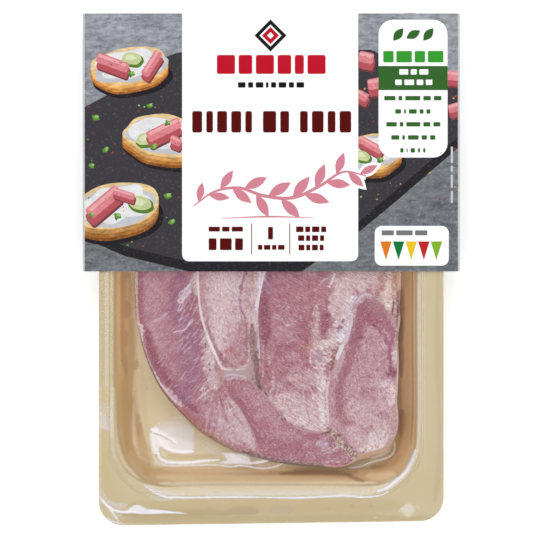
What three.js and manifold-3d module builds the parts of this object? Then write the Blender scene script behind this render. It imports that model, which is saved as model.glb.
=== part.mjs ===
// A retail pack of pork tongue in aspic, lying on its back with the clear side up.
// A thermoformed tray holds one thick slice: five tongue pieces set in a web of aspic.
// A clear skin film covers the slice and the tray's rim, and a card sleeve is pushed over the pack's upper half.
// Millimetres. +X is the pack's width, +Y its height towards the sleeve's end, +Z up out of the tray.
// The origin is at the centre of the pack's base.

import * as THREE from "three";
import { mergeVertices } from "three/addons/utils/BufferGeometryUtils.js";
import Module from "manifold-3d";

const wasm = await Module();
wasm.setup();

// Driving dimensions
const TOUCH_GAP = 0.3; // clearance between pieces that touch

const CARD = 0.5; // thickness of the sleeve's board
const SLEEVE_WIDTH = 164; // across the two side creases
const SLEEVE_TOP = 111;
const SLEEVE_BOTTOM = -1;
const SLEEVE_BACK_WIDTH = 127; // the flat back panel, from which the sides slant out to the front's creases
const CREASE_RADIUS = 0.9;

const SHEET = 0.6; // thickness of the tray's plastic
const FILM = 0.3;
const RIM_HEIGHT = 18.4; // top of the tray's flange
const BEAD_RISE = 0.4;
const TRAY_BASE = CARD + TOUCH_GAP; // underside of the tray's floor
const FLOOR_TOP = TRAY_BASE + SHEET;

const TRAY_WIDTH = 150;
const TRAY_TOP = 109.9;
const TRAY_BOTTOM_LEFT = -111.6; // the lower edge is trimmed a little out of square
const TRAY_BOTTOM_RIGHT = -109.5;
const TRAY_CORNER_RADIUS = 10.4;

const WELL = { left: -68.4, right: 63.4, bottom: -94.3, top: 93.4, radius: 20 };
const BEAD = { left: -71.2, right: 66, bottom: -99.3, top: 98.6, radius: 25 };
const WALL_TOP = { inset: 0.4, z: 16.2 };
const WALL_FOOT = { inset: 5.6, z: 3.4 };

const TAB_CENTRE = [60.4, 105.6]; // the peel tab's rounded tip, which shows past the sleeve
const TAB_HALF_WIDTH = 8.4;
const TAB_REACH = 6;

const SLICE_TOP = 16; // upper face of the tongue pieces
const ASPIC_TOP = 15.6; // the aspic lies a little lower than the meat
const SLICE_BASE = FLOOR_TOP + TOUCH_GAP;
const SLICE_CHAMFER = 2.4; // the slice's lower edge is pressed in by the tray's rounded foot
const SLICE_EDGE_ROUND = 0.7;
const ASPIC_RIM = 1; // aspic round the outside of the tongue pieces
const RIM_GAP = 0.4; // clearance inside the rim, measured along rays that cross it at a slant

// The slice's outline, anticlockwise from the middle of its right side
const SLICE_OUTLINE = [
  [55.6, 0],
  [55.2, 22],
  [51.5, 46],
  [43, 67],
  [27.7, 80.6],
  [6, 85.8],
  [-15.8, 83.2],
  [-35.3, 73],
  [-49.3, 56.2],
  [-56.8, 32],
  [-59.4, 0],
  [-58.8, -22],
  [-53.6, -41.3],
  [-43.2, -57.8],
  [-25.8, -73],
  [-2.7, -83.7],
  [27.7, -86.4],
  [43.8, -82.8],
  [52, -78.6],
  [55.2, -68.5],
  [55.4, -35],
];

// Seams of aspic between the tongue pieces: each point is x, y and half the seam's width there
const SEAMS = {
  leftInner: [
    [-25.8, 89, 0.6],
    [-29.5, 45, 0.6],
    [-32.3, -1.2, 0.6],
    [-31, -19.1, 0.55],
    [-26.2, -34.3, 0.95],
    [-21.4, -44.7, 0.9],
  ],
  innerMiddle: [
    [17, 90, 0.9],
    [4, 45, 0.9],
    [-3.4, -1.2, 0.9],
    [-6.8, -16.5, 0.85],
    [-7.6, -31, 1.6],
    [-7.2, -43, 1.4],
    [-4.9, -51.7, 0.6],
  ],
  pocket: [
    [-21.4, -44.7, 1],
    [-15, -45.3, 1.5],
    [-9.2, -45.6, 2.5],
    [-6.2, -47.6, 2.1],
  ],
  leftTip: [
    [-21.3, -45, 0.6],
    [-19.6, -52, 0.3],
    [-14.9, -59.1, 0.25],
    [-9, -69.1, 0.25],
    [-6, -78.7, 0.4],
    [-4.6, -87, 0.5],
  ],
  tipMiddle: [
    [-5.2, -51, 0.6],
    [0.8, -60.4, 0.3],
    [9, -68.2, 0.3],
    [19, -71, 0.3],
    [26, -71.6, 0.45],
  ],
  tipRight: [
    [25.8, -70.9, 0.5],
    [32.1, -77.4, 0.6],
    [37.7, -83, 0.7],
    [40.5, -88, 0.8],
  ],
  middleRight: [
    [26, -71.8, 0.5],
    [23.8, -57, 0.85],
    [26, -44.7, 0.85],
    [33.4, -29, 0.5],
    [36, -17.8, 0.45],
    [40.8, -11.5, 0.5],
    [47.7, -15.6, 0.4],
    [53.4, -25, 0.4],
    [58.6, -31, 0.5],
  ],
};

// A point inside each tongue piece, which gives the piece its name
const TONGUES = {
  tongue_left: [-45, -20],
  tongue_inner: [-20, -15],
  tongue_middle: [8, -25],
  tongue_tip: [5, -76],
  tongue_right: [42, -50],
};

const COLOURS = {
  tray: 0xcdbb94,
  film: 0xf2f2ee,
  aspic: 0xd9c0c2,
  card: 0x8f9398,
  meat: 0xb98089,
};

// Outlines

const plane = ([x, y]) => new THREE.Vector2(x, y);

// A convex polygon, drawn anticlockwise, with rounded corners, then drawn in all round by inset
function roundedPolygon(corners, radius, steps, inset = 0) {
  const points = [];
  corners.forEach((corner, i) => {
    const before = corners[(i + corners.length - 1) % corners.length];
    const after = corners[(i + 1) % corners.length];
    const inward = before.clone().sub(corner).normalize();
    const outward = after.clone().sub(corner).normalize();
    const halfAngle = Math.acos(THREE.MathUtils.clamp(inward.dot(outward), -1, 1)) / 2;
    const setback = radius / Math.tan(halfAngle);
    const bisector = inward.clone().add(outward).normalize();
    const centre = corner.clone().addScaledVector(bisector, radius / Math.sin(halfAngle));
    const start = corner.clone().addScaledVector(inward, setback).sub(centre).angle();
    const end = corner.clone().addScaledVector(outward, setback).sub(centre).angle();
    const turn = THREE.MathUtils.euclideanModulo(end - start, 2 * Math.PI);
    for (let k = 0; k <= steps; k++) {
      const angle = start + (turn * k) / steps;
      const arm = new THREE.Vector2(Math.cos(angle), Math.sin(angle)).multiplyScalar(radius - inset);
      points.push(arm.add(centre));
    }
  });
  return points;
}

const OUTLINE_STEPS = 24;

// A rounded rectangle drawn in by inset, or out if inset is negative
function roundedBox({ left, right, bottom, top, radius }, inset, steps = OUTLINE_STEPS) {
  const corners = [[right, bottom], [right, top], [left, top], [left, bottom]];
  return roundedPolygon(corners.map(plane), radius, steps, inset);
}

function flangeOutline() {
  const half = TRAY_WIDTH / 2;
  const corners = [[half, TRAY_BOTTOM_RIGHT], [half, TRAY_TOP], [-half, TRAY_TOP], [-half, TRAY_BOTTOM_LEFT]];
  return roundedPolygon(corners.map(plane), TRAY_CORNER_RADIUS, OUTLINE_STEPS);
}

function smoothOutline(points, samples) {
  const curve = new THREE.SplineCurve([...points, points[0]].map(plane));
  return curve.getPoints(samples).slice(0, -1);
}

// Rays: every closed outline is cut by the same rays from the well's centre, so neighbours' facets stay parallel

const CENTRE = new THREE.Vector2((WELL.left + WELL.right) / 2, (WELL.bottom + WELL.top) / 2);
const CORNER_STEPS = 10;
const SIDE_STEP = 12.5;

function rayAngles() {
  const corners = roundedBox(WELL, 0, CORNER_STEPS);
  const angles = [];
  corners.forEach((point, i) => {
    const next = corners[(i + 1) % corners.length];
    const pieces = Math.max(1, Math.round(point.distanceTo(next) / SIDE_STEP));
    for (let k = 0; k < pieces; k++) {
      angles.push(point.clone().lerp(next, k / pieces).sub(CENTRE).angle());
    }
  });
  return angles.sort((a, b) => a - b);
}

const RAYS = rayAngles();

// How far from the centre the ray at an angle leaves a closed outline
function reach(outline, angle) {
  const direction = new THREE.Vector2(Math.cos(angle), Math.sin(angle));
  let furthest = 0;
  outline.forEach((point, i) => {
    const a = point.clone().sub(CENTRE);
    const side = outline[(i + 1) % outline.length].clone().sub(point);
    const cross = direction.cross(side);
    if (Math.abs(cross) < 1e-9) return;
    const along = a.cross(side) / cross;
    const share = a.cross(direction) / cross;
    if (along > 0 && share >= -1e-9 && share <= 1 + 1e-9) furthest = Math.max(furthest, along);
  });
  return furthest;
}

const reaches = (outline) => RAYS.map((angle) => reach(outline, angle));

// Solids made of rings of points, one point for each ray

function ringPoint(i, radius, z) {
  return [CENTRE.x + radius * Math.cos(RAYS[i]), CENTRE.y + radius * Math.sin(RAYS[i]), z];
}

// A closed solid through a list of rings, each an array of [radius, z]. The first and last rings are capped at the centre.
function ringSolid(rings) {
  const count = RAYS.length;
  const positions = rings.flatMap((ring) => ring.flatMap(([radius, z], i) => ringPoint(i, radius, z)));
  const index = [];
  for (let j = 0; j + 1 < rings.length; j++) {
    for (let i = 0; i < count; i++) {
      const [a, b] = [j * count + i, j * count + ((i + 1) % count)];
      index.push(a, a + count, b, b, a + count, b + count);
    }
  }
  const cap = (ring, upward) => {
    const middle = positions.length / 3;
    positions.push(CENTRE.x, CENTRE.y, rings[ring][0][1]);
    for (let i = 0; i < count; i++) {
      const [a, b] = [ring * count + i, ring * count + ((i + 1) % count)];
      index.push(...(upward ? [middle, a, b] : [middle, b, a]));
    }
  };
  cap(0, true);
  cap(rings.length - 1, false);
  const geometry = new THREE.BufferGeometry();
  geometry.setAttribute("position", new THREE.Float32BufferAttribute(positions, 3));
  geometry.setIndex(index);
  return geometry;
}

// The same profile moved along its own normal, upwards if the distance is positive
function offsetProfile(profile, distance) {
  return profile.map(([radius, z], j) => {
    const before = profile[Math.max(0, j - 1)];
    const after = profile[Math.min(profile.length - 1, j + 1)];
    const normal = new THREE.Vector2(-(before[1] - after[1]), before[0] - after[0]).normalize();
    return [radius + normal.x * distance, z + normal.y * distance];
  });
}

const asRings = (profiles) => profiles[0].map((_, j) => profiles.map((profile) => profile[j]));

// A thin skin between a profile moved by low and the same profile moved by high, for every ray
function skin(profiles, low, high) {
  const upper = asRings(profiles.map((profile) => offsetProfile(profile, high)));
  const lower = asRings(profiles.map((profile) => offsetProfile(profile, low)));
  return ringSolid([...upper.reverse(), ...lower]);
}

// Boolean work

function toSolid(geometry) {
  const bare = geometry.clone();
  bare.deleteAttribute("normal");
  bare.deleteAttribute("uv");
  const merged = mergeVertices(bare, 1e-4);
  return new wasm.Manifold(
    new wasm.Mesh({
      numProp: 3,
      vertProperties: new Float32Array(merged.attributes.position.array),
      triVerts: new Uint32Array(merged.index.array),
    }),
  );
}

function toGeometry(solid) {
  const mesh = solid.getMesh();
  const geometry = new THREE.BufferGeometry();
  geometry.setAttribute("position", new THREE.Float32BufferAttribute(mesh.vertProperties, 3));
  geometry.setIndex([...mesh.triVerts]);
  geometry.computeVertexNormals();
  return geometry;
}

function extruded(outline, low, high) {
  const geometry = new THREE.ExtrudeGeometry(new THREE.Shape(outline), { depth: high - low, bevelEnabled: false });
  return toSolid(geometry.translate(0, 0, low));
}

// Tray

const flange = reaches(flangeOutline());
const wall = (inset) => reaches(roundedBox(WELL, inset));
const bead = (inset) => reaches(roundedBox(BEAD, inset));

// The tray's upper surface as rings from the rim to the floor: each has a reach for every ray and one height
const TRAY_RINGS = [
  [flange, RIM_HEIGHT],
  [bead(-0.8), RIM_HEIGHT],
  [bead(0), RIM_HEIGHT + BEAD_RISE],
  [bead(0.9), RIM_HEIGHT - 0.1],
  [wall(-0.5), RIM_HEIGHT - 0.8],
  [wall(WALL_TOP.inset), WALL_TOP.z],
  [wall(WALL_FOOT.inset), WALL_FOOT.z],
  [wall(7), FLOOR_TOP + 0.5],
  [wall(8.8), FLOOR_TOP],
];

function trayGeometry() {
  const profiles = RAYS.map((_, i) => TRAY_RINGS.map(([reached, z]) => [reached[i], z]));
  const shell = toSolid(skin(profiles, -SHEET, 0));
  const tab = new THREE.CylinderGeometry(1, 1, SHEET, 40).rotateX(Math.PI / 2);
  tab.scale(TAB_HALF_WIDTH, TAB_REACH, 1).translate(...TAB_CENTRE, RIM_HEIGHT - SHEET / 2);
  return toGeometry(shell.add(toSolid(tab)));
}

// Slice

const sliceReach = reaches(smoothOutline(SLICE_OUTLINE, 240));

// The whole slice, drawn in from its outline by inset, between two heights
function sliceBlock(inset, top) {
  const ring = (extra, z) => sliceReach.map((radius) => [radius - inset - extra, z]);
  return toSolid(
    ringSolid([
      ring(SLICE_EDGE_ROUND, top),
      ring(0, top - SLICE_EDGE_ROUND),
      ring(0, SLICE_BASE + SLICE_CHAMFER),
      ring(SLICE_CHAMFER, SLICE_BASE),
    ]),
  );
}

const SEAM_SAMPLES = 22;
const CUT_MARGIN = 1;

// A seam as an upright ribbon right through the slice, widened on each side by extra
function seamSolid(seam, extra, low, high) {
  const route = new THREE.CatmullRomCurve3(seam.map(([x, y, half]) => new THREE.Vector3(x, y, half)), false, "centripetal");
  const left = [];
  const right = [];
  for (let k = 0; k <= SEAM_SAMPLES; k++) {
    const at = route.getPoint(k / SEAM_SAMPLES);
    const ahead = route.getTangent(k / SEAM_SAMPLES).setZ(0).normalize();
    const across = new THREE.Vector2(-ahead.y, ahead.x).multiplyScalar(at.z + extra);
    if (k === 0) at.addScaledVector(ahead, -extra);
    if (k === SEAM_SAMPLES) at.addScaledVector(ahead, extra);
    left.push(new THREE.Vector2(at.x + across.x, at.y + across.y));
    right.push(new THREE.Vector2(at.x - across.x, at.y - across.y));
  }
  return extruded([...left, ...right.reverse()], low, high);
}

function seamWeb(extra, low, high) {
  const ribbons = Object.values(SEAMS).map((seam) => seamSolid(seam, extra, low, high));
  return ribbons.reduce((web, ribbon) => web.add(ribbon));
}

const biggest = (solids) => solids.reduce((best, solid) => (solid.volume() > best.volume() ? solid : best));

function aspicGeometry() {
  const whole = sliceBlock(0, ASPIC_TOP);
  const rim = whole.subtract(extrudedInner(ASPIC_RIM));
  const web = seamWeb(0, SLICE_BASE - CUT_MARGIN, SLICE_TOP + CUT_MARGIN).intersect(whole);
  return toGeometry(biggest(rim.add(web).decompose()));
}

// An upright block of the slice's outline drawn in by inset, tall enough to cut right through
function extrudedInner(inset) {
  const ring = (z) => sliceReach.map((radius) => [radius - inset, z]);
  return toSolid(ringSolid([ring(SLICE_TOP + CUT_MARGIN), ring(SLICE_BASE - CUT_MARGIN)]));
}

function tongueSolids() {
  const meat = sliceBlock(ASPIC_RIM + RIM_GAP, SLICE_TOP);
  return meat.subtract(seamWeb(TOUCH_GAP, SLICE_BASE - CUT_MARGIN, SLICE_TOP + CUT_MARGIN)).decompose();
}

// The piece that a thin upright needle at a point passes through
function tongueAt(solids, [x, y]) {
  const needle = toSolid(new THREE.BoxGeometry(0.5, 0.5, SLICE_TOP).translate(x, y, SLICE_TOP / 2));
  return solids.find((solid) => solid.intersect(needle).volume() > 0);
}

// Film

const VALLEY_HIGH = 6.8; // how low the film reaches in a narrow gap beside the slice
const VALLEY_LOW = FLOOR_TOP + TOUCH_GAP;
const NARROW_GAP = 5;
const WIDE_GAP = 14;
const WALL_REST = 9.6; // down to this height the film always lies on the wall
const WALL_SLACK = 0.3; // the film stands off the wall a little more than it does off the flange

// How open the gap between slice and wall is at one ray and its neighbours, from 0 to 1
function opennessAt(i) {
  const near = [-2, -1, 0, 1, 2].map((step) => (i + step + RAYS.length) % RAYS.length);
  const shares = near.map((j) => {
    const middle = (TRAY_RINGS[5][0][j] + TRAY_RINGS[6][0][j]) / 2;
    return THREE.MathUtils.smoothstep(middle - sliceReach[j], NARROW_GAP, WIDE_GAP);
  });
  return shares.reduce((sum, share) => sum + share) / shares.length;
}

// The film's underside along one ray: it lies on the flange and wall, crosses the gap and climbs over the slice
function filmProfile(i) {
  const onTray = offsetProfile(TRAY_RINGS.map(([reached, z]) => [reached[i], z]), TOUCH_GAP);
  const wallTop = onTray[5];
  const wallFoot = onTray[6];
  const slice = sliceReach[i];
  const openness = opennessAt(i);
  const valley = THREE.MathUtils.lerp(VALLEY_HIGH, VALLEY_LOW, openness);
  const slope = (wallTop[0] - wallFoot[0]) / (wallTop[1] - wallFoot[1]);
  const wallAt = (z) => wallFoot[0] + slope * (z - wallFoot[1]) - WALL_SLACK;
  const onWall = Math.max(valley + 2.4, wallFoot[1] + 0.6);
  const outer = wallAt(Math.max(valley, wallFoot[1]));
  const across = outer - slice;
  const outerShare = THREE.MathUtils.lerp(0.75, 0.86, openness);
  return [
    ...onTray.slice(0, 6),
    [wallAt(WALL_REST), WALL_REST],
    [wallAt(onWall), onWall],
    [slice + across * outerShare, valley + THREE.MathUtils.lerp(0.5, 0.9, openness)],
    [slice + Math.min(across * 0.42, 4), valley + 0.1],
    [slice + 0.55, valley + 2.2],
    [slice + TOUCH_GAP + 0.1, SLICE_TOP - SLICE_EDGE_ROUND],
    [slice - SLICE_EDGE_ROUND, SLICE_TOP + TOUCH_GAP],
  ];
}

function filmGeometry() {
  return skin(RAYS.map((_, i) => filmProfile(i)), 0, FILM);
}

// Sleeve: a flattened card tube, creased at its two sides, whose back follows the tray's well

const SLEEVE_HEIGHT = RIM_HEIGHT + BEAD_RISE + FILM + 3 * TOUCH_GAP + CARD - 0.2;

const CREASE_SETBACK = 1.15; // how far a rounded side crease stops short of the sharp corner

// The tube's section in X and Z, drawn in by inset
function sleeveSection(inset) {
  const front = SLEEVE_WIDTH / 2 + CREASE_SETBACK;
  const back = SLEEVE_BACK_WIDTH / 2;
  const corners = [[back, 0], [front, SLEEVE_HEIGHT], [-front, SLEEVE_HEIGHT], [-back, 0]];
  return roundedPolygon(corners.map(plane), CREASE_RADIUS, 4, inset);
}

function sleeveGeometry() {
  const section = new THREE.Shape(sleeveSection(0));
  section.holes.push(new THREE.Path(sleeveSection(CARD)));
  const tube = new THREE.ExtrudeGeometry(section, { depth: SLEEVE_TOP - SLEEVE_BOTTOM, bevelEnabled: false });
  return tube.rotateX(Math.PI / 2).translate(0, SLEEVE_TOP, 0);
}

// Assembly

function mesh(name, geometry, colour, roughness, extra = {}) {
  const material = new THREE.MeshStandardMaterial({ color: colour, roughness, metalness: 0, ...extra });
  const made = new THREE.Mesh(geometry, material);
  made.name = name;
  return made;
}

const pack = new THREE.Group();
pack.add(mesh("tray", trayGeometry(), COLOURS.tray, 0.35));
pack.add(mesh("aspic", aspicGeometry(), COLOURS.aspic, 0.25));
const tongueBodies = tongueSolids();
for (const [name, point] of Object.entries(TONGUES)) {
  pack.add(mesh(name, toGeometry(tongueAt(tongueBodies, point)), COLOURS.meat, 0.45));
}
pack.add(mesh("film", filmGeometry(), COLOURS.film, 0.08, { transparent: true, opacity: 0.2 }));
pack.add(mesh("sleeve", sleeveGeometry(), COLOURS.card, 0.5));

export default pack;
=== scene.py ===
import math
import bpy
import numpy as np
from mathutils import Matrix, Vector
from mathutils.geometry import delaunay_2d_cdt
from mathutils.kdtree import KDTree


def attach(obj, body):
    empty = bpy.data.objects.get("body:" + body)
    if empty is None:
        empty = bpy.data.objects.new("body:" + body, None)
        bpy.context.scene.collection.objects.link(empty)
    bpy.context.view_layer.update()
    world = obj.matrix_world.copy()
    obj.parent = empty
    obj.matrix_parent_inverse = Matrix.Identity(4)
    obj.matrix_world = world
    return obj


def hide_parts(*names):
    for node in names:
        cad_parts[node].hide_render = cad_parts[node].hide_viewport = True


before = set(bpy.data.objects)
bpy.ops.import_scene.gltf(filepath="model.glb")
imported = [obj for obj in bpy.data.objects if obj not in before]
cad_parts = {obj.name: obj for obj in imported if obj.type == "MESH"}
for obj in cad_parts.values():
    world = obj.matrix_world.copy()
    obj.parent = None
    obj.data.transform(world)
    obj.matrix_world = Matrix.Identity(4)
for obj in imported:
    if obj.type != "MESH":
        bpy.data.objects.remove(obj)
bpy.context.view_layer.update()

# Lengths are in millimetres and become metres when a mesh is made.
# Outlines are drawn on a grid of 0.435 mm whose origin is up and to the left of the pack.
# On that grid u runs to the right and v runs down.
MM = 0.001
GRID = 0.435
GRID_CENTRE = (271.25, 269.15)
LENS = 130
SENSOR = 36
VIEW = 540
VIEW_CENTRE = (270, 270)
LEVEL = 18.5
EYE = VIEW * GRID * LENS / SENSOR


def at(points):
    """Places in millimetres of points on the drawing grid"""
    points = np.asarray(points, float)
    return np.column_stack(((points[:, 0] - GRID_CENTRE[0]) * GRID, (GRID_CENTRE[1] - points[:, 1]) * GRID))


def seen(points):
    """Where points show from the camera, on the plane at the tray's rim"""
    axis = at([VIEW_CENTRE])
    return axis + (points[:, :2] - axis) * EYE / (EYE + LEVEL - points[:, 2:])


def rgb(red, green, blue):
    """A screen colour as linear values, by the sRGB rule"""
    parts = np.array([red, green, blue]) / 255
    return np.where(parts <= 0.04045, parts / 12.92, ((parts + 0.055) / 1.055) ** 2.4)


def ramp(value, low, high):
    """A smooth rise from 0 at low to 1 at high"""
    share = np.clip((value - low) / (high - low), 0, 1)
    return share * share * (3 - 2 * share)


def between(first, second, share):
    return first + (second - first) * share


def ripple(x, y, size, seed, count=16):
    """A smooth random field with waves of about the given size, mostly between -1 and 1"""
    rng = np.random.default_rng(seed)
    total = np.zeros_like(x)
    for _ in range(count):
        turn = rng.uniform(0, 2 * math.pi)
        wave = 2 * math.pi / size * rng.uniform(0.55, 1.6)
        total += np.sin(wave * (x * math.cos(turn) + y * math.sin(turn)) + rng.uniform(0, 2 * math.pi))
    return total / math.sqrt(count) * 1.1


# Curves in the plane

CURVE_STEPS = 12


def resampled(line, step, closed=True):
    """The line with points at even steps"""
    if closed:
        line = np.vstack((line, line[:1]))
    lengths = np.concatenate(([0], np.cumsum(np.linalg.norm(np.diff(line, axis=0), axis=1))))
    count = max(3, int(round(lengths[-1] / step)))
    places = np.linspace(0, lengths[-1], count + 1)
    if closed:
        places = places[:-1]
    return np.column_stack([np.interp(places, lengths, line[:, k]) for k in (0, 1)])


def smooth(points, step=0.8, closed=True):
    """A smooth curve through the points, with even steps"""
    points = np.asarray(points, float)
    count = len(points)
    if closed:
        around = np.vstack((points[-2:], points, points[:3]))
        offset = 2
        spans = count
    else:
        around = np.vstack((2 * points[0] - points[1], points, 2 * points[-1] - points[-2]))
        offset = 1
        spans = count - 1
    chords = np.linalg.norm(np.diff(around, axis=0), axis=1)
    line = []
    for i in range(spans):
        k = i + offset
        before, here, after = chords[k - 1], chords[k], chords[min(k + 1, len(chords) - 1)]
        start, end = around[k], around[k + 1]
        slope_in = ((end - start) / here * before + (start - around[k - 1]) / before * here) / (before + here)
        beyond = around[min(k + 2, len(around) - 1)]
        slope_out = ((beyond - end) / after * here + (end - start) / here * after) / (here + after)
        t = np.linspace(0, 1, CURVE_STEPS, endpoint=False)[:, None]
        line.append(
            (2 * t**3 - 3 * t**2 + 1) * start
            + (t**3 - 2 * t**2 + t) * here * slope_in
            + (3 * t**2 - 2 * t**3) * end
            + (t**3 - t**2) * here * slope_out
        )
    line = np.vstack(line)
    if not closed:
        line = np.vstack((line, points[-1:]))
    return resampled(line, step, closed)


def rounded(corners, radius, inset=0.0, steps=40):
    """A convex polygon drawn anticlockwise with rounded corners, drawn in by inset"""
    corners = np.asarray(corners, float)
    points = []
    for i, corner in enumerate(corners):
        inward = corners[i - 1] - corner
        outward = corners[(i + 1) % len(corners)] - corner
        inward = inward / np.linalg.norm(inward)
        outward = outward / np.linalg.norm(outward)
        half = math.acos(float(inward @ outward)) / 2
        bisector = inward + outward
        centre = corner + bisector / np.linalg.norm(bisector) * radius / math.sin(half)
        first = corner + inward * radius / math.tan(half) - centre
        last = corner + outward * radius / math.tan(half) - centre
        start = math.atan2(first[1], first[0])
        turn = (math.atan2(last[1], last[0]) - start) % (2 * math.pi)
        angles = start + turn * np.linspace(0, 1, steps + 1)
        points.append(centre + (radius - inset) * np.column_stack((np.cos(angles), np.sin(angles))))
    return np.vstack(points)


def box(left, right, bottom, top):
    return [(right, bottom), (right, top), (left, top), (left, bottom)]


def distance(points, line):
    """How far each point is from a line, and how far along it the nearest place is, from 0 to 1"""
    steps = np.linalg.norm(np.diff(line, axis=0), axis=1)
    marks = np.concatenate(([0], np.cumsum(steps))) / max(steps.sum(), 1e-9)
    best = np.full(len(points), 1e9)
    place = np.zeros(len(points))
    for i in range(len(line) - 1):
        side = line[i + 1] - line[i]
        share = np.clip((points - line[i]) @ side / max(side @ side, 1e-12), 0, 1)
        away = np.linalg.norm(points - line[i] - share[:, None] * side, axis=1)
        nearer = away < best
        best[nearer] = away[nearer]
        place[nearer] = (marks[i] + share * (marks[i + 1] - marks[i]))[nearer]
    return best, np.clip(place, 0, 1)


def near(points, line, limit):
    """Which points lie in the line's box grown by the limit"""
    low, high = line.min(axis=0) - limit, line.max(axis=0) + limit
    return ((points > low) & (points < high)).all(axis=1)


def edge_distance(points, loops):
    """How far each point is from the nearest of several closed outlines"""
    marks = np.vstack([resampled(loop, 0.05) for loop in loops])
    tree = KDTree(len(marks))
    for k, (x, y) in enumerate(marks.tolist()):
        tree.insert((x, y, 0), k)
    tree.balance()
    return np.array([tree.find((x, y, 0))[2] for x, y in points[:, :2].tolist()])


def area(loop):
    """The area of a closed outline, below zero if it runs clockwise"""
    return 0.5 * np.sum(loop[:, 0] * np.roll(loop[:, 1], -1) - loop[:, 1] * np.roll(loop[:, 0], -1))


def turned(loop, anticlockwise):
    return loop if (area(loop) > 0) == anticlockwise else loop[::-1]


def left_of(loop):
    """The directions that point to the left of travel along a closed outline"""
    ahead = np.roll(loop, -1, axis=0) - np.roll(loop, 1, axis=0)
    return np.column_stack((-ahead[:, 1], ahead[:, 0])) / np.linalg.norm(ahead, axis=1)[:, None]


def triangulated(loops, extra):
    """Points and triangles over several outlines

    Also which outlines each triangle is in, and where each outline's points ended up.
    """
    sizes = [len(loop) for loop in loops]
    starts = np.concatenate(([0], np.cumsum(sizes)))
    orders = [range(starts[k], starts[k + 1]) for k in range(len(loops))]
    faces = [list(order if area(loop) > 0 else reversed(order)) for loop, order in zip(loops, orders)]
    points = [Vector(p) for p in np.vstack((*loops, extra)).tolist()]
    plane, _, triangles, origin, _, within = delaunay_2d_cdt(points, [], faces, 0, 1e-6)
    plane = np.array([tuple(p) for p in plane])
    triangles = np.array(triangles)
    a, b, c = (plane[triangles[:, k]] for k in range(3))
    back = (b[:, 0] - a[:, 0]) * (c[:, 1] - a[:, 1]) - (b[:, 1] - a[:, 1]) * (c[:, 0] - a[:, 0]) < 0
    triangles[back] = triangles[back][:, ::-1]
    home = {source: index for index, sources in enumerate(origin) for source in sources}
    places = [[home[k] for k in order] for order in orders]
    return plane, triangles, within, places


# Meshes

def make(name, points, faces, materials, nodes, flat=False):
    """A piece on the root that stands for the given CAD nodes"""
    mesh = bpy.data.meshes.new(name)
    mesh.from_pydata((np.asarray(points, float) * MM).tolist(), [], faces)
    for material in materials:
        mesh.materials.append(material)
    piece = bpy.data.objects.new(name, mesh)
    bpy.context.collection.objects.link(piece)
    mesh.polygons.foreach_set("use_smooth", [not flat] * len(mesh.polygons))
    mesh.update()
    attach(piece, "root")
    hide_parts(*nodes)
    return piece


def set_colour(piece, name, colours):
    values = np.ones((len(colours), 4))
    values[:, :3] = colours
    layer = piece.data.color_attributes.new(name, "FLOAT_COLOR", "POINT")
    layer.data.foreach_set("color", values.ravel())


def set_value(piece, name, numbers):
    layer = piece.data.attributes.new(name, "FLOAT", "POINT")
    layer.data.foreach_set("value", np.asarray(numbers, float))


# A stroke is a colour, a half width on the drawing grid, a strength and the points of its line
STROKE_REACH = 2.4
STROKE_END = 0.45
WIDEST_WOBBLE = 1.2


def painted(points, base, strokes, wobble=0.35, seed=1, grain=2.4, soft=(0.45, 1.35)):
    """Colours for points: a base colour under strokes with wavy, soft edges and narrower ends"""
    x, y = points[:, 0], points[:, 1]
    colours = np.tile(base, (len(points), 1)) if np.ndim(base) == 1 else base.copy()
    for number, (colour, width, strength, line) in enumerate(strokes):
        route = at(line)
        chosen = near(points, route, width * STROKE_REACH * GRID)
        if not chosen.any():
            continue
        if len(route) > 2:
            route = smooth(route, 0.6, closed=False)
        away, place = distance(points[chosen], route)
        reach = width * GRID
        away = away + ripple(x[chosen], y[chosen], grain, seed + number) * wobble * min(reach, WIDEST_WOBBLE)
        taper = between(STROKE_END, 1, np.minimum(1, 5 * np.minimum(place, 1 - place)) ** 0.7)
        share = strength * (1 - ramp(away, reach * taper * soft[0], reach * taper * soft[1]))
        colours[chosen] += share[:, None] * (np.asarray(colour) - colours[chosen])
    return colours


# Materials

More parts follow.
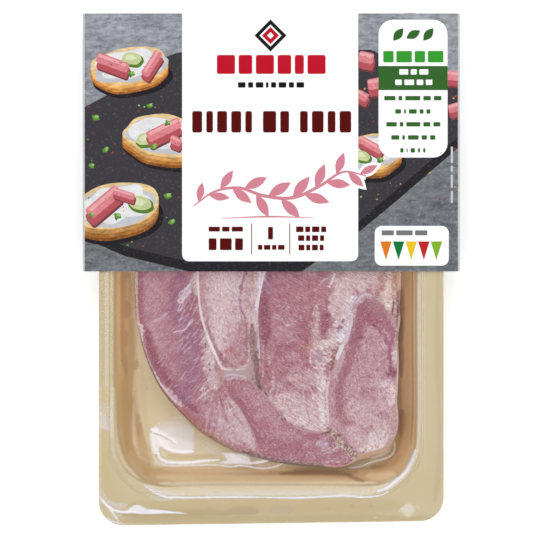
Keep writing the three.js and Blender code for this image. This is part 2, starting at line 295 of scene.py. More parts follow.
class Shader:
    """A new material, with short ways to add nodes and to join them"""

    def __init__(self, name):
        self.material = bpy.data.materials.new(name)
        self.material.use_nodes = True
        self.nodes = self.material.node_tree.nodes
        self.body = self.nodes["Principled BSDF"]

    def fill(self, node, values):
        """Gives each named socket a value or another node's output"""
        for name, value in values.items():
            socket = node.inputs[name]
            if isinstance(value, bpy.types.NodeSocket):
                self.material.node_tree.links.new(value, socket)
            elif socket.type == "RGBA":
                socket.default_value = (*value, 1)
            else:
                socket.default_value = value

    def add(self, kind, values, **settings):
        made = self.nodes.new("ShaderNode" + kind)
        for name, value in settings.items():
            setattr(made, name, value)
        self.fill(made, values)
        return made

    def place(self, stretch=1.0, turn=0.0):
        """Object coordinates stretched along one direction in the plane"""
        here = self.add("TexCoord", {}).outputs["Object"]
        values = {"Scale": (stretch, 1, 1), "Rotation": (0, 0, turn), "Vector": here}
        return self.add("Mapping", values, vector_type="TEXTURE").outputs["Vector"]

    def noise(self, vector, scale, detail=3, rough=0.55, low=0.35, high=0.65):
        """Noise whose part from low to high is spread over 0 to 1"""
        values = {"Scale": scale, "Detail": detail, "Roughness": rough, "Vector": vector}
        made = self.add("TexNoise", values).outputs["Fac"]
        return self.add("MapRange", {"From Min": low, "From Max": high, "Value": made}).outputs["Result"]

    def mix(self, share, first, second, mode="MIX"):
        values = {0: share, 6: first, 7: second}
        return self.add("Mix", values, data_type="RGBA", blend_type=mode).outputs[2]

    def maths(self, kind, *values):
        return self.add("Math", dict(enumerate(values)), operation=kind).outputs[0]

    def times(self, first, second):
        return self.maths("MULTIPLY", first, second)

    def stored(self, name, output="Color"):
        """A colour or value kept on the mesh"""
        return self.add("Attribute", {}, attribute_name=name).outputs[output]

    def bump(self, height, strength, depth):
        values = {"Strength": strength, "Distance": depth * MM, "Height": height}
        return self.add("Bump", values).outputs["Normal"]


def tray_material():
    """Painted plastic with a painted glow: emission that stands in for light coming through the thin plastic
    and lifts the shade in the well
    """
    shader = Shader("tray_plastic")
    fine = shader.noise(shader.place(), 900, detail=2, rough=0.5, low=0.3, high=0.7)
    broad = shader.noise(shader.place(), 60, rough=0.5, low=0.3, high=0.7)
    colour = shader.stored("tone")
    colour = shader.mix(shader.times(broad, 0.1), colour, rgb(214, 202, 178))
    colour = shader.mix(shader.times(fine, 0.03), colour, rgb(150, 128, 92))
    shader.fill(shader.body, {
        "Base Color": colour,
        "Roughness": 0.36,
        "Specular IOR Level": 0.45,
        "Emission Color": shader.mix(shader.stored("glow", "Fac"), (0.0, 0.0, 0.0), colour),
        "Emission Strength": 0.58,
        "Normal": shader.bump(fine, strength=0.07, depth=0.1),
    })
    return shader.material


# How much of the meat's grain is broad blotches and fine dots. The rest is fibres and bands.
BROAD_SHARE = 0.18
FINE_SHARE = 0.34
# Painted glints: pale specks mixed into the meat's colour stand in for small sparkles of light
GLINT_SHARE = 0.3


def meat_material(name, turn, stretch, banded, contrast):
    """Cut muscle: painted tones with fibres along the given direction and a fine grain, darker and paler"""
    shader = Shader(name)
    along = shader.place(stretch, turn)
    even = shader.place()
    fibre = shader.noise(along, 1250, rough=0.6, low=0.34, high=0.66)
    broad = shader.noise(even, 520, rough=0.6, low=0.34, high=0.66)
    fine = shader.noise(even, 2300, detail=2, rough=0.6, low=0.34, high=0.66)
    values = {"Scale": 340, "Distortion": 9, "Detail": 3, "Detail Scale": 0.8, "Vector": along}
    bands = shader.add("TexWave", values, bands_direction="Y").outputs["Fac"]
    grain = shader.times(fibre, 1 - BROAD_SHARE - FINE_SHARE - banded)
    for part, share in ((broad, BROAD_SHARE), (fine, FINE_SHARE), (bands, banded)):
        grain = shader.maths("ADD", grain, shader.times(part, share))
    grain = shader.maths("ADD", shader.times(grain, contrast), 0.5 - contrast / 2)
    colour = shader.stored("tone")
    low = shader.mix(1.0, colour, (0.66, 0.5, 0.54), "MULTIPLY")
    lift = shader.mix(1.0, colour, (0.3, 0.46, 0.42), "MULTIPLY")
    high = shader.mix(1.0, colour, lift, "ADD")
    glint = shader.noise(even, 1900, detail=1, rough=0.5, low=0.6, high=0.74)
    colour = shader.mix(grain, low, high)
    shader.fill(shader.body, {
        "Base Color": shader.mix(shader.times(glint, GLINT_SHARE), colour, rgb(240, 222, 226)),
        "Roughness": 0.5,
        "Specular IOR Level": 0.25,
        "Subsurface Weight": 0.06,
        "Subsurface Radius": (0.0008, 0.0003, 0.0003),
        "Normal": shader.bump(grain, strength=0.4, depth=0.15),
    })
    return shader.material


def jelly_material():
    """Clouded jelly, with dark specks where the grain value asks for them"""
    shader = Shader("aspic_jelly")
    even = shader.place()
    cloud = shader.noise(even, 700, high=0.7)
    speck = shader.noise(even, 1500, detail=2, rough=0.5, low=0.56, high=0.7)
    colour = shader.stored("tone")
    amount = shader.stored("grain", "Fac")
    lit = shader.mix(0.6, colour, rgb(238, 226, 222))
    dim = shader.mix(0.7, colour, rgb(88, 58, 50))
    colour = shader.mix(shader.times(cloud, 0.16), colour, lit)
    shader.fill(shader.body, {
        "Base Color": shader.mix(shader.times(speck, amount), colour, dim),
        "Roughness": 0.3,
        "Subsurface Weight": 0.35,
        "Subsurface Radius": (0.003, 0.002, 0.0016),
        "Normal": shader.bump(cloud, strength=0.3, depth=0.2),
    })
    return shader.material


SHINE_SLANTED = 0.6
SHINE_STRAIGHT = 0.022


def film_material():
    """Clear film: see-through from straight on, glossy, brighter where it slants, and with painted white
    sheens mixed in by a stored value
    """
    shader = Shader("clear_film")
    shader.nodes.remove(shader.body)
    clear = shader.add("BsdfTransparent", {}).outputs[0]
    milky = shader.add("BsdfDiffuse", {"Color": rgb(248, 245, 248)}).outputs[0]
    gloss = shader.add("BsdfGlossy", {"Roughness": 0.1})
    facing = shader.add("LayerWeight", {}).outputs["Facing"]
    slant = shader.maths("POWER", facing, 5.0)
    shine = shader.maths("MULTIPLY_ADD", slant, SHINE_SLANTED, SHINE_STRAIGHT)
    shown = shader.add("MixShader", {0: shine, 1: clear, 2: gloss.outputs[0]}).outputs[0]
    veiled_film = shader.add("MixShader", {1: shown, 2: milky})
    shader.fill(veiled_film, {0: shader.stored("haze", "Fac")})
    shader.fill(shader.nodes["Material Output"], {"Surface": veiled_film.outputs[0]})
    waves = shader.noise(shader.place(), 420, rough=0.5, low=0.3, high=0.7)
    shader.fill(gloss, {"Normal": shader.bump(waves, strength=0.12, depth=0.1)})
    return shader.material


# Tray and film are rings crossed by rays from the well's centre, closer together outside the sleeve

WELL = dict(corners=box(-68.4, 63.4, -94.3, 93.4), radius=20)
BEAD = dict(corners=box(-71.2, 66.0, -99.3, 98.6), radius=25)
FLANGE = dict(corners=[(75, -109.5), (75, 109.9), (-75, 109.9), (-75, -111.59)], radius=10.4)
TAB_CENTRE = (60.4, 105.6)
TAB_SIZE = (8.4, 6)
CENTRE = np.array([-2.5, -0.45])
RIM = 18.4
BEAD_HEIGHT = 0.45
FLOOR = 1.4
SHEET = 0.6
WALL_TOP = (0.4, 16.2)
WALL_FOOT = (5.6, 3.4)
FLOOR_EDGE = 19.9
RAY_STEP = 0.76
SLEEVE_EDGE = 4
TAB_SIDE = (42, 70)
COVERED_SHARE = 5

edge = resampled(rounded(**WELL), RAY_STEP)
bare = (edge[:, 1] < SLEEVE_EDGE) | (edge > TAB_SIDE).all(axis=1)
edge = edge[bare | (np.arange(len(edge)) % COVERED_SHARE == 0)]
RAYS = np.sort(np.arctan2(*(edge - CENTRE).T[::-1]))
DIRECTIONS = np.column_stack((np.cos(RAYS), np.sin(RAYS)))


def reach(outline):
    """How far from the centre each ray leaves a closed outline"""
    start = outline - CENTRE
    side = np.roll(outline, -1, axis=0) - outline
    cross = DIRECTIONS[:, :1] * side[:, 1] - DIRECTIONS[:, 1:] * side[:, 0]
    cross = np.where(np.abs(cross) < 1e-9, 1e-9, cross)
    along = (start[:, 0] * side[:, 1] - start[:, 1] * side[:, 0]) / cross
    share = (start[:, 0] * DIRECTIONS[:, 1:] - start[:, 1] * DIRECTIONS[:, :1]) / cross
    along = np.where((share >= -1e-6) & (share <= 1 + 1e-6) & (along > 0), along, 0)
    return along.max(axis=1)


def wall(inset):
    """How far each ray reaches on the well's outline drawn in by inset"""
    return reach(rounded(**WELL, inset=inset))


def bead(inset):
    return reach(rounded(**BEAD, inset=inset))


trim = reach(rounded(**FLANGE))
turn = np.linspace(0, 2 * math.pi, 90, endpoint=False)
tab = np.array(TAB_CENTRE) + np.column_stack((np.cos(turn), np.sin(turn))) * TAB_SIZE
flange = np.maximum(trim, reach(tab))


def profile(rings):
    """Rings of reach and height as an array of rays by rings by two"""
    columns = [np.column_stack((radius, np.broadcast_to(z, radius.shape))) for radius, z in rings]
    return np.stack(columns, axis=1)


def chamfered(lines):
    """The profiles with each inner corner cut off once, which rounds them"""
    first = between(lines[:, :-1], lines[:, 1:], 0.25)
    second = between(lines[:, :-1], lines[:, 1:], 0.75)
    cut = np.empty((lines.shape[0], first.shape[1] * 2, 2))
    cut[:, 0::2] = first
    cut[:, 1::2] = second
    return np.concatenate((lines[:, :1], cut[:, 1:-1], lines[:, -1:]), axis=1)


def dense(lines, step):
    """The profiles with points added on the longer stretches"""
    pieces = []
    for a, b in zip(lines[:, :-1].transpose(1, 0, 2), lines[:, 1:].transpose(1, 0, 2)):
        length = np.quantile(np.linalg.norm(b - a, axis=1), 0.95)
        shares = np.arange(max(1, round(length / step))) / max(1, round(length / step))
        pieces += [between(a, b, share) for share in shares]
    return np.stack([*pieces, lines[:, -1]], axis=1)


def offset(lines, gap):
    """The profiles moved along their own normals, upwards for a positive gap"""
    along = np.empty_like(lines)
    along[:, 1:-1] = lines[:, 2:] - lines[:, :-2]
    along[:, 0] = lines[:, 1] - lines[:, 0]
    along[:, -1] = lines[:, -1] - lines[:, -2]
    normal = np.stack((along[..., 1], -along[..., 0]), axis=-1)
    normal /= np.maximum(np.linalg.norm(normal, axis=-1, keepdims=True), 1e-9)
    return lines + normal * gap


def ring_points(lines):
    """Points in space, ring by ring"""
    x = CENTRE[0] + lines[..., 0] * DIRECTIONS[:, None, 0]
    y = CENTRE[1] + lines[..., 0] * DIRECTIONS[:, None, 1]
    return np.stack((x, y, lines[..., 1]), axis=-1).transpose(1, 0, 2).reshape(-1, 3)


def ring_faces(rings, first=0):
    """Quads between rings that run inwards, and a fan of triangles to a point after the last ring"""
    count = len(RAYS)
    here = np.arange(count)
    ahead = (here + 1) % count
    faces = []
    for j in range(rings - 1):
        a = first + j * count
        faces += np.column_stack((a + here, a + ahead, a + count + ahead, a + count + here)).tolist()
    a = first + (rings - 1) * count
    faces += np.column_stack((a + here, a + ahead, np.full(count, first + rings * count))).tolist()
    return faces


# Tray

def tray_profile():
    """Rings from the tray's edge over groove, bead and wall to its floor"""
    rings = [
        (flange, RIM - 0.12),
        (flange - 0.15, RIM),
        (flange - 1.0, RIM),
        (flange - 1.25, RIM - 0.08),
        (flange - 1.55, RIM),
    ]
    outer = bead(-0.9)
    rings += [(between(flange - 1.55, outer, share), RIM) for share in (0.3, 0.6, 1)]
    rings += [(bead(-0.4), RIM + 0.12), (bead(0), RIM + BEAD_HEIGHT)]
    rings += [(bead(0.45), RIM + 0.3), (bead(0.9), RIM - 0.1)]
    rings += [(between(bead(0.9), wall(-0.5), share), RIM - 0.1 - 0.7 * share) for share in (0.35, 0.7, 1)]
    rings += [(wall(0), RIM - 1.25), (wall(0.25), RIM - 1.7)]
    for share in np.linspace(0, 1, 7):
        inset, height = between(np.array(WALL_TOP), np.array(WALL_FOOT), share)
        rings.append((wall(inset), height))
    rings += [(wall(6.1), 2.5), (wall(6.9), 1.85), (wall(7.9), 1.5), (wall(9), FLOOR)]
    rings += [(wall(inset), FLOOR) for inset in (12, 16, FLOOR_EDGE)]
    rings += [(wall(FLOOR_EDGE) * share, FLOOR) for share in (0.8, 0.55, 0.25)]
    return profile(rings)


TRAY_STEP = 0.58
BEIGE = rgb(202, 185, 148)
# Browner colours for the well's walls: painted shade, deeper on the left wall than on the right
WALL_LEFT = rgb(190, 158, 112)
WALL_RIGHT = rgb(198, 164, 122)
# Light and shade on flange, bead, wall and floor
TRAY_STROKES = [
    (rgb(190, 172, 134), 4.4, 0.85, [(101, 262), (101, 330), (101, 385)]),
    (rgb(211, 196, 164), 1.8, 0.8, [(107, 262), (107, 330), (107, 400)]),
    (rgb(198, 178, 138), 1.2, 0.7, [(110, 262), (110, 330), (110, 385)]),
    (rgb(196, 174, 134), 1.6, 0.7, [(113, 262), (113, 330), (113, 385)]),
    (rgb(199, 178, 134), 9.0, 0.8, [(103, 390), (104, 440), (104, 480), (112, 500), (130, 508)]),
    (rgb(194, 173, 130), 10.0, 0.8, [(130, 507), (180, 508), (250, 508), (330, 507), (400, 506)]),
    (rgb(176, 154, 112), 5.0, 0.75, [(124, 514.5), (150, 514.5), (185, 514.5), (230, 514)]),
    (rgb(186, 167, 124), 4.4, 0.8, [(118, 521), (200, 520), (300, 519), (428, 518)]),
    (rgb(188, 172, 134), 4.6, 0.75, [(439, 262), (439, 340), (439, 470), (435, 500)]),
    (rgb(222, 207, 174), 4.8, 0.8, [(148, 486), (165, 490.5), (200, 492), (250, 492), (330, 491.5),
        (375, 489.5), (396, 478)]),
    (rgb(226, 210, 174), 2.8, 0.85, [(113.5, 388), (113.5, 420), (116, 443), (124, 464), (138, 478)]),
    (rgb(176, 144, 104), 6.0, 0.8, [(127, 262), (127, 330), (127, 380)]),
    (rgb(186, 150, 108), 2.4, 0.8, [(117, 262), (117, 320), (117, 352), (117, 376)]),
    (rgb(150, 114, 84), 2.6, 0.75, [(122.6, 262), (122.6, 320), (122.6, 352), (123, 366)]),
    (rgb(162, 130, 92), 2.2, 0.5, [(125, 350), (126, 380), (128, 405)]),
    (rgb(180, 149, 110), 4.6, 0.85, [(132, 320), (132.6, 345), (133, 380), (134, 410), (136, 432)]),
    (rgb(180, 146, 98), 5.0, 0.8, [(124, 380), (126, 420), (129, 445), (136, 463), (147, 474)]),
    (rgb(172, 140, 97), 4.2, 0.85, [(133.5, 392), (134.6, 415), (138, 436), (142, 450), (150, 464)]),
    (rgb(176, 144, 102), 2.6, 0.8, [(140, 424), (143.4, 440), (147.4, 452)]),
    (rgb(196, 176, 140), 3.6, 0.8, [(142, 366), (143.6, 400), (145, 420), (148, 434)]),
    (rgb(188, 166, 132), 2.0, 0.8, [(168, 455.6), (184, 456.2), (204, 455.8), (216, 455)]),
    (rgb(174, 142, 98), 1.0, 0.7, [(118, 400), (119.5, 436), (123.5, 452), (132, 468), (145, 480),
        (161, 486), (180, 486.6)]),
    (rgb(176, 144, 100), 0.8, 0.6, [(124.5, 400), (125, 436), (128.5, 452), (136, 466)]),
    (rgb(210, 186, 148), 3.2, 0.9, [(165, 469), (200, 469.6), (240, 470), (268, 471)]),
    (rgb(212, 187, 144), 5.0, 0.9, [(158, 477), (200, 478), (260, 479), (320, 481), (362, 482)]),
    (rgb(234, 216, 182), 2.4, 0.9, [(160, 483.6), (200, 483.8), (260, 483.8), (320, 483.8), (376, 483)]),
    (rgb(178, 148, 110), 1.8, 0.6, [(226, 473.4), (250, 474), (276, 474)]),
    (rgb(236, 210, 174), 3.2, 0.9, [(256, 466), (270, 467), (292, 468)]),
    (rgb(206, 172, 136), 2.6, 0.8, [(286, 468), (304, 469), (330, 470)]),
    (rgb(128, 96, 70), 2.6, 0.7, [(280, 473.6), (300, 472.6), (322, 472), (340, 473), (353, 476)]),
    (rgb(132, 98, 72), 4.4, 0.4, [(296, 471.4), (316, 471), (336, 471.2), (356, 471.6)]),
    (rgb(140, 104, 74), 2.0, 0.8, [(345, 473), (354, 478), (364, 481)]),
    (rgb(218, 194, 154), 4.0, 0.9, [(367, 476), (380, 476), (393, 474)]),
    (rgb(180, 144, 104), 4.0, 0.8, [(372, 467), (390, 464.5), (400, 455)]),
    (rgb(212, 172, 134), 4.4, 0.9, [(402.5, 262), (402.5, 340), (402, 400), (401.5, 425)]),
    (rgb(168, 128, 92), 3.6, 0.85, [(402, 410), (401.6, 424), (400.6, 436)]),
    (rgb(192, 158, 126), 3.4, 0.85, [(403.6, 262), (403.6, 292)]),
    (rgb(184, 156, 114), 4.4, 0.7, [(133, 425), (134, 440), (137.5, 450)]),
    (rgb(182, 154, 114), 6.0, 0.6, [(143.4, 446), (146, 457), (151, 464)]),
    (rgb(192, 165, 124), 5.0, 0.7, [(131, 452), (134.4, 462), (142, 471)]),
    (rgb(220, 205, 178), 2.2, 0.7, [(168, 484.4), (200, 484), (250, 483.4), (300, 484)]),
    (rgb(206, 186, 152), 3.0, 0.7, [(416, 262), (416, 340), (416, 424)]),
    (rgb(140, 104, 78), 3.0, 0.7, [(402.6, 290), (402, 315), (401.8, 328), (401, 340), (401.4, 356),
        (401.4, 376)]),
    (rgb(128, 92, 70), 2.2, 0.5, [(401, 318), (401.4, 330), (400.4, 342)]),
    (rgb(210, 170, 126), 3.8, 0.85, [(399, 436), (396.6, 447), (390, 457), (380, 463)]),
    (rgb(186, 152, 112), 2.6, 0.8, [(409, 262), (409, 340), (408.6, 420), (407, 446), (401, 463)]),
    (rgb(150, 114, 80), 1.1, 0.85, [(412.4, 262), (412.4, 340), (412.4, 420), (411, 444)]),
    (rgb(190, 164, 124), 1.6, 0.8, [(415.6, 262), (415.6, 340), (415.6, 425), (413.6, 448), (406, 465)]),
    (rgb(219, 204, 170), 1.9, 0.85, [(419.4, 262), (419.4, 340), (419.4, 425), (417, 450), (409, 470),
        (397, 483), (380, 489)]),
]
# Bubbles under the film on the flange: colour, half width, strength, height and ends
BUBBLES = [
    (rgb(182, 163, 128), 5.0, 0.7, 0.16, [(205, 512.5), (217, 512.5)]),
    (rgb(178, 158, 124), 5.0, 0.8, 0.16, [(229, 511), (258, 511)]),
    (rgb(186, 167, 136), 5.5, 0.75, 0.16, [(272, 510), (292, 510)]),
    (rgb(182, 162, 128), 2.2, 0.7, 0.12, [(327, 508.5), (331, 508.5)]),
    (rgb(184, 164, 130), 2.6, 0.7, 0.12, [(350, 506), (354, 506)]),
    (rgb(184, 164, 130), 3.0, 0.7, 0.12, [(369, 506), (372, 506)]),
    # This round bubble's pale colour is a painted sheen on the air pocket
    (rgb(226, 214, 190), 7.0, 0.8, 0.25, [(404, 510), (412, 510)]),
]
WALL_SPOTS = [
    (rgb(160, 122, 82), 4.0, 0.7, [(126, 272), (126, 279)]),
    (rgb(158, 120, 80), 5.0, 0.7, [(126, 302), (126, 317)]),
    (rgb(158, 120, 80), 3.6, 0.7, [(125, 331), (125, 346)]),
    (rgb(160, 122, 82), 2.4, 0.7, [(126, 355), (126, 373)]),
    (rgb(166, 132, 92), 3.2, 0.6, [(136, 361), (136, 369)]),
    (rgb(160, 126, 86), 1.5, 0.7, [(133.5, 397), (133.5, 403)]),
    (rgb(166, 132, 92), 3.0, 0.6, [(138, 415), (138, 419)]),
    (rgb(164, 130, 90), 4.0, 0.6, [(138, 418), (139, 435)]),
    (rgb(110, 84, 58), 0.7, 0.8, [(147, 388), (147.5, 388.4)]),
]


def tray():
    """Makes the tray and gives back the profile of its upper side, which the film follows"""
    lines = tray_profile()
    sheet = chamfered(lines)
    covered = sheet[0, :, 0] < wall(FLOOR_EDGE)[0] * 0.75
    top = np.concatenate((dense(sheet[:, ~covered], TRAY_STEP), sheet[:, covered]), axis=1)
    under = offset(lines, -SHEET)
    points = np.vstack((ring_points(top), [[*CENTRE, FLOOR]], ring_points(under), [[*CENTRE, FLOOR - SHEET]]))
    count = len(RAYS)
    low = top.shape[1] * count + 1
    faces = ring_faces(top.shape[1])
    faces += [face[::-1] for face in ring_faces(under.shape[1], low)]
    faces += [[i, low + i, low + (i + 1) % count, (i + 1) % count] for i in range(count)]
    piece = make("tray_shell", points, faces, [tray_material()], ["tray"])
    flat, height = seen(points), points[:, 2]
    depth = ramp(RIM - 0.5 - height, 0, 4) * ramp(height, FLOOR, 4.5)
    right = ramp(flat[:, 0], -30, 30)
    # Down the walls the colour turns to their painted shade
    colour = between(BEIGE, between(WALL_LEFT, WALL_RIGHT, right[:, None]), depth[:, None])
    colour = painted(flat, colour, TRAY_STROKES, wobble=0.1, seed=20, soft=(0.2, 1.6))
    spots = [(tint, width, strength, line) for tint, width, strength, _, line in BUBBLES] + WALL_SPOTS
    colour = painted(flat, colour, spots, wobble=0.15, seed=40)
    above = np.arange(len(points)) < low
    set_colour(piece, "tone", np.where(above[:, None], colour, BEIGE))
    # Painted glow: emission that lifts the shade down the walls, beside the slice and on the floor's lower
    # left corner
    upper = ramp(flat[:, 1], -62, -22)
    beside_slice = upper * ramp(RIM - 0.5 - height, 0, 4) * between(1.0, 0.25, right)
    corner = (1 - upper) * (1 - right) * (1 - ramp(height, 1.5, 4.5))
    glow = depth * (0.36 + 0.18 * right) + 0.62 * beside_slice + 0.27 * corner
    set_value(piece, "glow", above * np.clip(glow, 0, 1))
    return sheet


# Slice

# Outlines on the drawing grid, of the whole slice and of the tongues in it
SLICE = [
    (401.9, 269), (401, 300), (400.4, 325), (398.6, 337), (398.5, 345), (399.1, 354), (399.1, 372),
    (398.4, 390), (397.6, 400), (398.6, 412), (399.2, 421), (397.8, 432), (394.2, 442), (389.8, 449.6),
    (383.6, 454.6), (372, 458.6), (360, 461.2), (351, 465), (340, 468.3), (325, 467.4), (305, 466),
    (285, 464.2), (268, 461.2), (256, 457.8), (247, 456.4), (238, 453), (230, 449.6), (219.2, 444.4),
    (209, 438.2), (198.8, 431.2), (188.8, 421.6), (178.6, 411), (168, 399.6), (158.6, 386),
    (152.6, 374.4), (147, 361), (142.3, 347), (139.6, 335), (136.6, 323), (135, 310), (134.3, 290),
    (134.6, 269), (140.6, 195.6), (157.9, 140), (190, 101.3), (234.9, 77.9), (285, 71.9), (334.9, 83.9),
    (370.1, 115.1), (389.6, 163.4), (398.1, 218.6),
]
TONGUES = {
    "tongue_left": [
        (195.8, 272), (196.3, 285), (198, 300), (199.8, 315), (203, 327), (206, 338), (211, 350),
        (216, 361), (220.5, 371), (222, 379), (224, 388), (232, 399), (240, 410), (246, 420),
        (251, 430), (255, 440), (257.5, 450), (256, 455), (250, 453.6), (243, 451), (232, 446.6),
        (220, 440.8), (204.6, 431.2), (188.6, 419), (175.8, 406.2), (164.4, 392.2), (154.6, 375.2),
        (148, 360), (143.5, 346), (141, 336), (139.6, 325), (138.6, 315), (137.4, 300), (137.6, 272),
        (144.4, 195.6), (160.9, 142.7), (191.9, 104.8), (207, 96.2), (201.4, 165.7),
    ],
    "tongue_inner": [
        (264, 269), (261, 283), (257.5, 296), (254.5, 306), (251.5, 316), (250, 330), (249.5, 345),
        (249.5, 358), (247.5, 366), (240, 368.5), (230, 369), (223, 367.5), (219.5, 361), (215, 351),
        (210, 339.5), (205.5, 327), (202, 315), (200, 302), (198.7, 285), (198.4, 270), (205.5, 165.7),
        (211.5, 94.4), (236, 81), (285, 75), (302.3, 78.3), (278.1, 165.7),
    ],
    "tongue_middle": [
        (266.3, 269), (262.5, 284), (259.8, 298), (258.3, 312), (258.5, 328), (259.7, 345),
        (260.3, 362), (260.8, 378), (263.5, 390), (268.5, 399), (276, 408), (284, 417), (291, 424),
        (300, 427.8), (312, 430.8), (322, 432.3), (328.5, 430), (327.3, 420), (325.6, 408),
        (325.4, 396), (326.6, 384), (329, 374), (331.5, 364), (335, 354), (338.5, 346.5), (343.5, 340),
        (348, 330), (351, 320), (352.3, 309), (356, 300), (361, 294), (366, 292.2), (372, 295),
        (379, 301.5), (386, 309.5), (391.5, 316.5), (395, 318), (396.6, 300), (396.6, 269),
        (394.9, 218.6), (386.2, 164.6), (367.8, 117.4), (334.9, 87.1), (312.6, 80.6), (283.2, 165.7),
    ],
    "tongue_tip": [
        (223.3, 381), (226, 377.8), (234.5, 376.5), (244, 378.5), (251.5, 383), (258, 389.5),
        (264, 396.5), (270, 403.5), (277.5, 412), (285.5, 421), (293.5, 427.8), (303, 431.5),
        (315, 433.6), (327, 434.8), (332, 438), (339, 445.5), (346, 452.3), (353.5, 459), (350, 463),
        (340, 466), (325, 464.4), (305, 462), (285, 459.6), (268, 456.8), (260.5, 454.2), (258, 447),
        (255, 436.5), (250.5, 427), (244.5, 416), (238, 406), (230, 396), (225, 388.5),
    ],
    "tongue_right": [
        (357.5, 303), (362, 299), (367, 297.8), (373, 300.8), (380, 307), (386.5, 315.5), (391.5, 321),
        (396, 328), (397, 345), (397.4, 365), (396.4, 385), (395.4, 398), (396.8, 415), (396, 430),
        (393, 437.6), (389.4, 443.4), (384.6, 447.6), (378, 450.2), (370, 452.6), (362, 454.6),
        (356.5, 452.5), (349, 446.5), (340.5, 438), (334, 431.5), (330, 422), (328.8, 408),
        (328.6, 394), (330, 382), (334, 370), (338.3, 360), (343.3, 350), (348, 341), (352, 328),
        (354.3, 315),
    ],
}
SLICE_TOP = 16.0
SLICE_LOW = 1.7
SLICE_LOWEST = 3.6
SLICE_DIM = 0.93
SPACING = 0.38
ROW_PITCH = 0.866
SIDE_DROP = 0.9
PATCH_SIZE = 7
PATCH_STRENGTH = 0.175
SIDE_FOOT = 4.0
COVERED_SPACING = SPACING * 7
COVERED_FROM = 1.5

# Colours of meat, fat, jelly and cracks
deep = rgb(144, 79, 94)
dark = rgb(158, 95, 111)
flesh = rgb(175, 120, 132)
light = rgb(190, 147, 156)
pale = rgb(206, 176, 180)
sand = rgb(208, 184, 180)
fat = rgb(213, 188, 190)
cream = rgb(214, 197, 182)
white = rgb(229, 214, 217)
lilac = rgb(206, 188, 204)
mauve = rgb(153, 100, 127)
red = rgb(170, 95, 101)
tan = rgb(188, 150, 120)
brown = rgb(116, 62, 51)
crack = rgb(79, 37, 38)
grey = rgb(182, 150, 162)

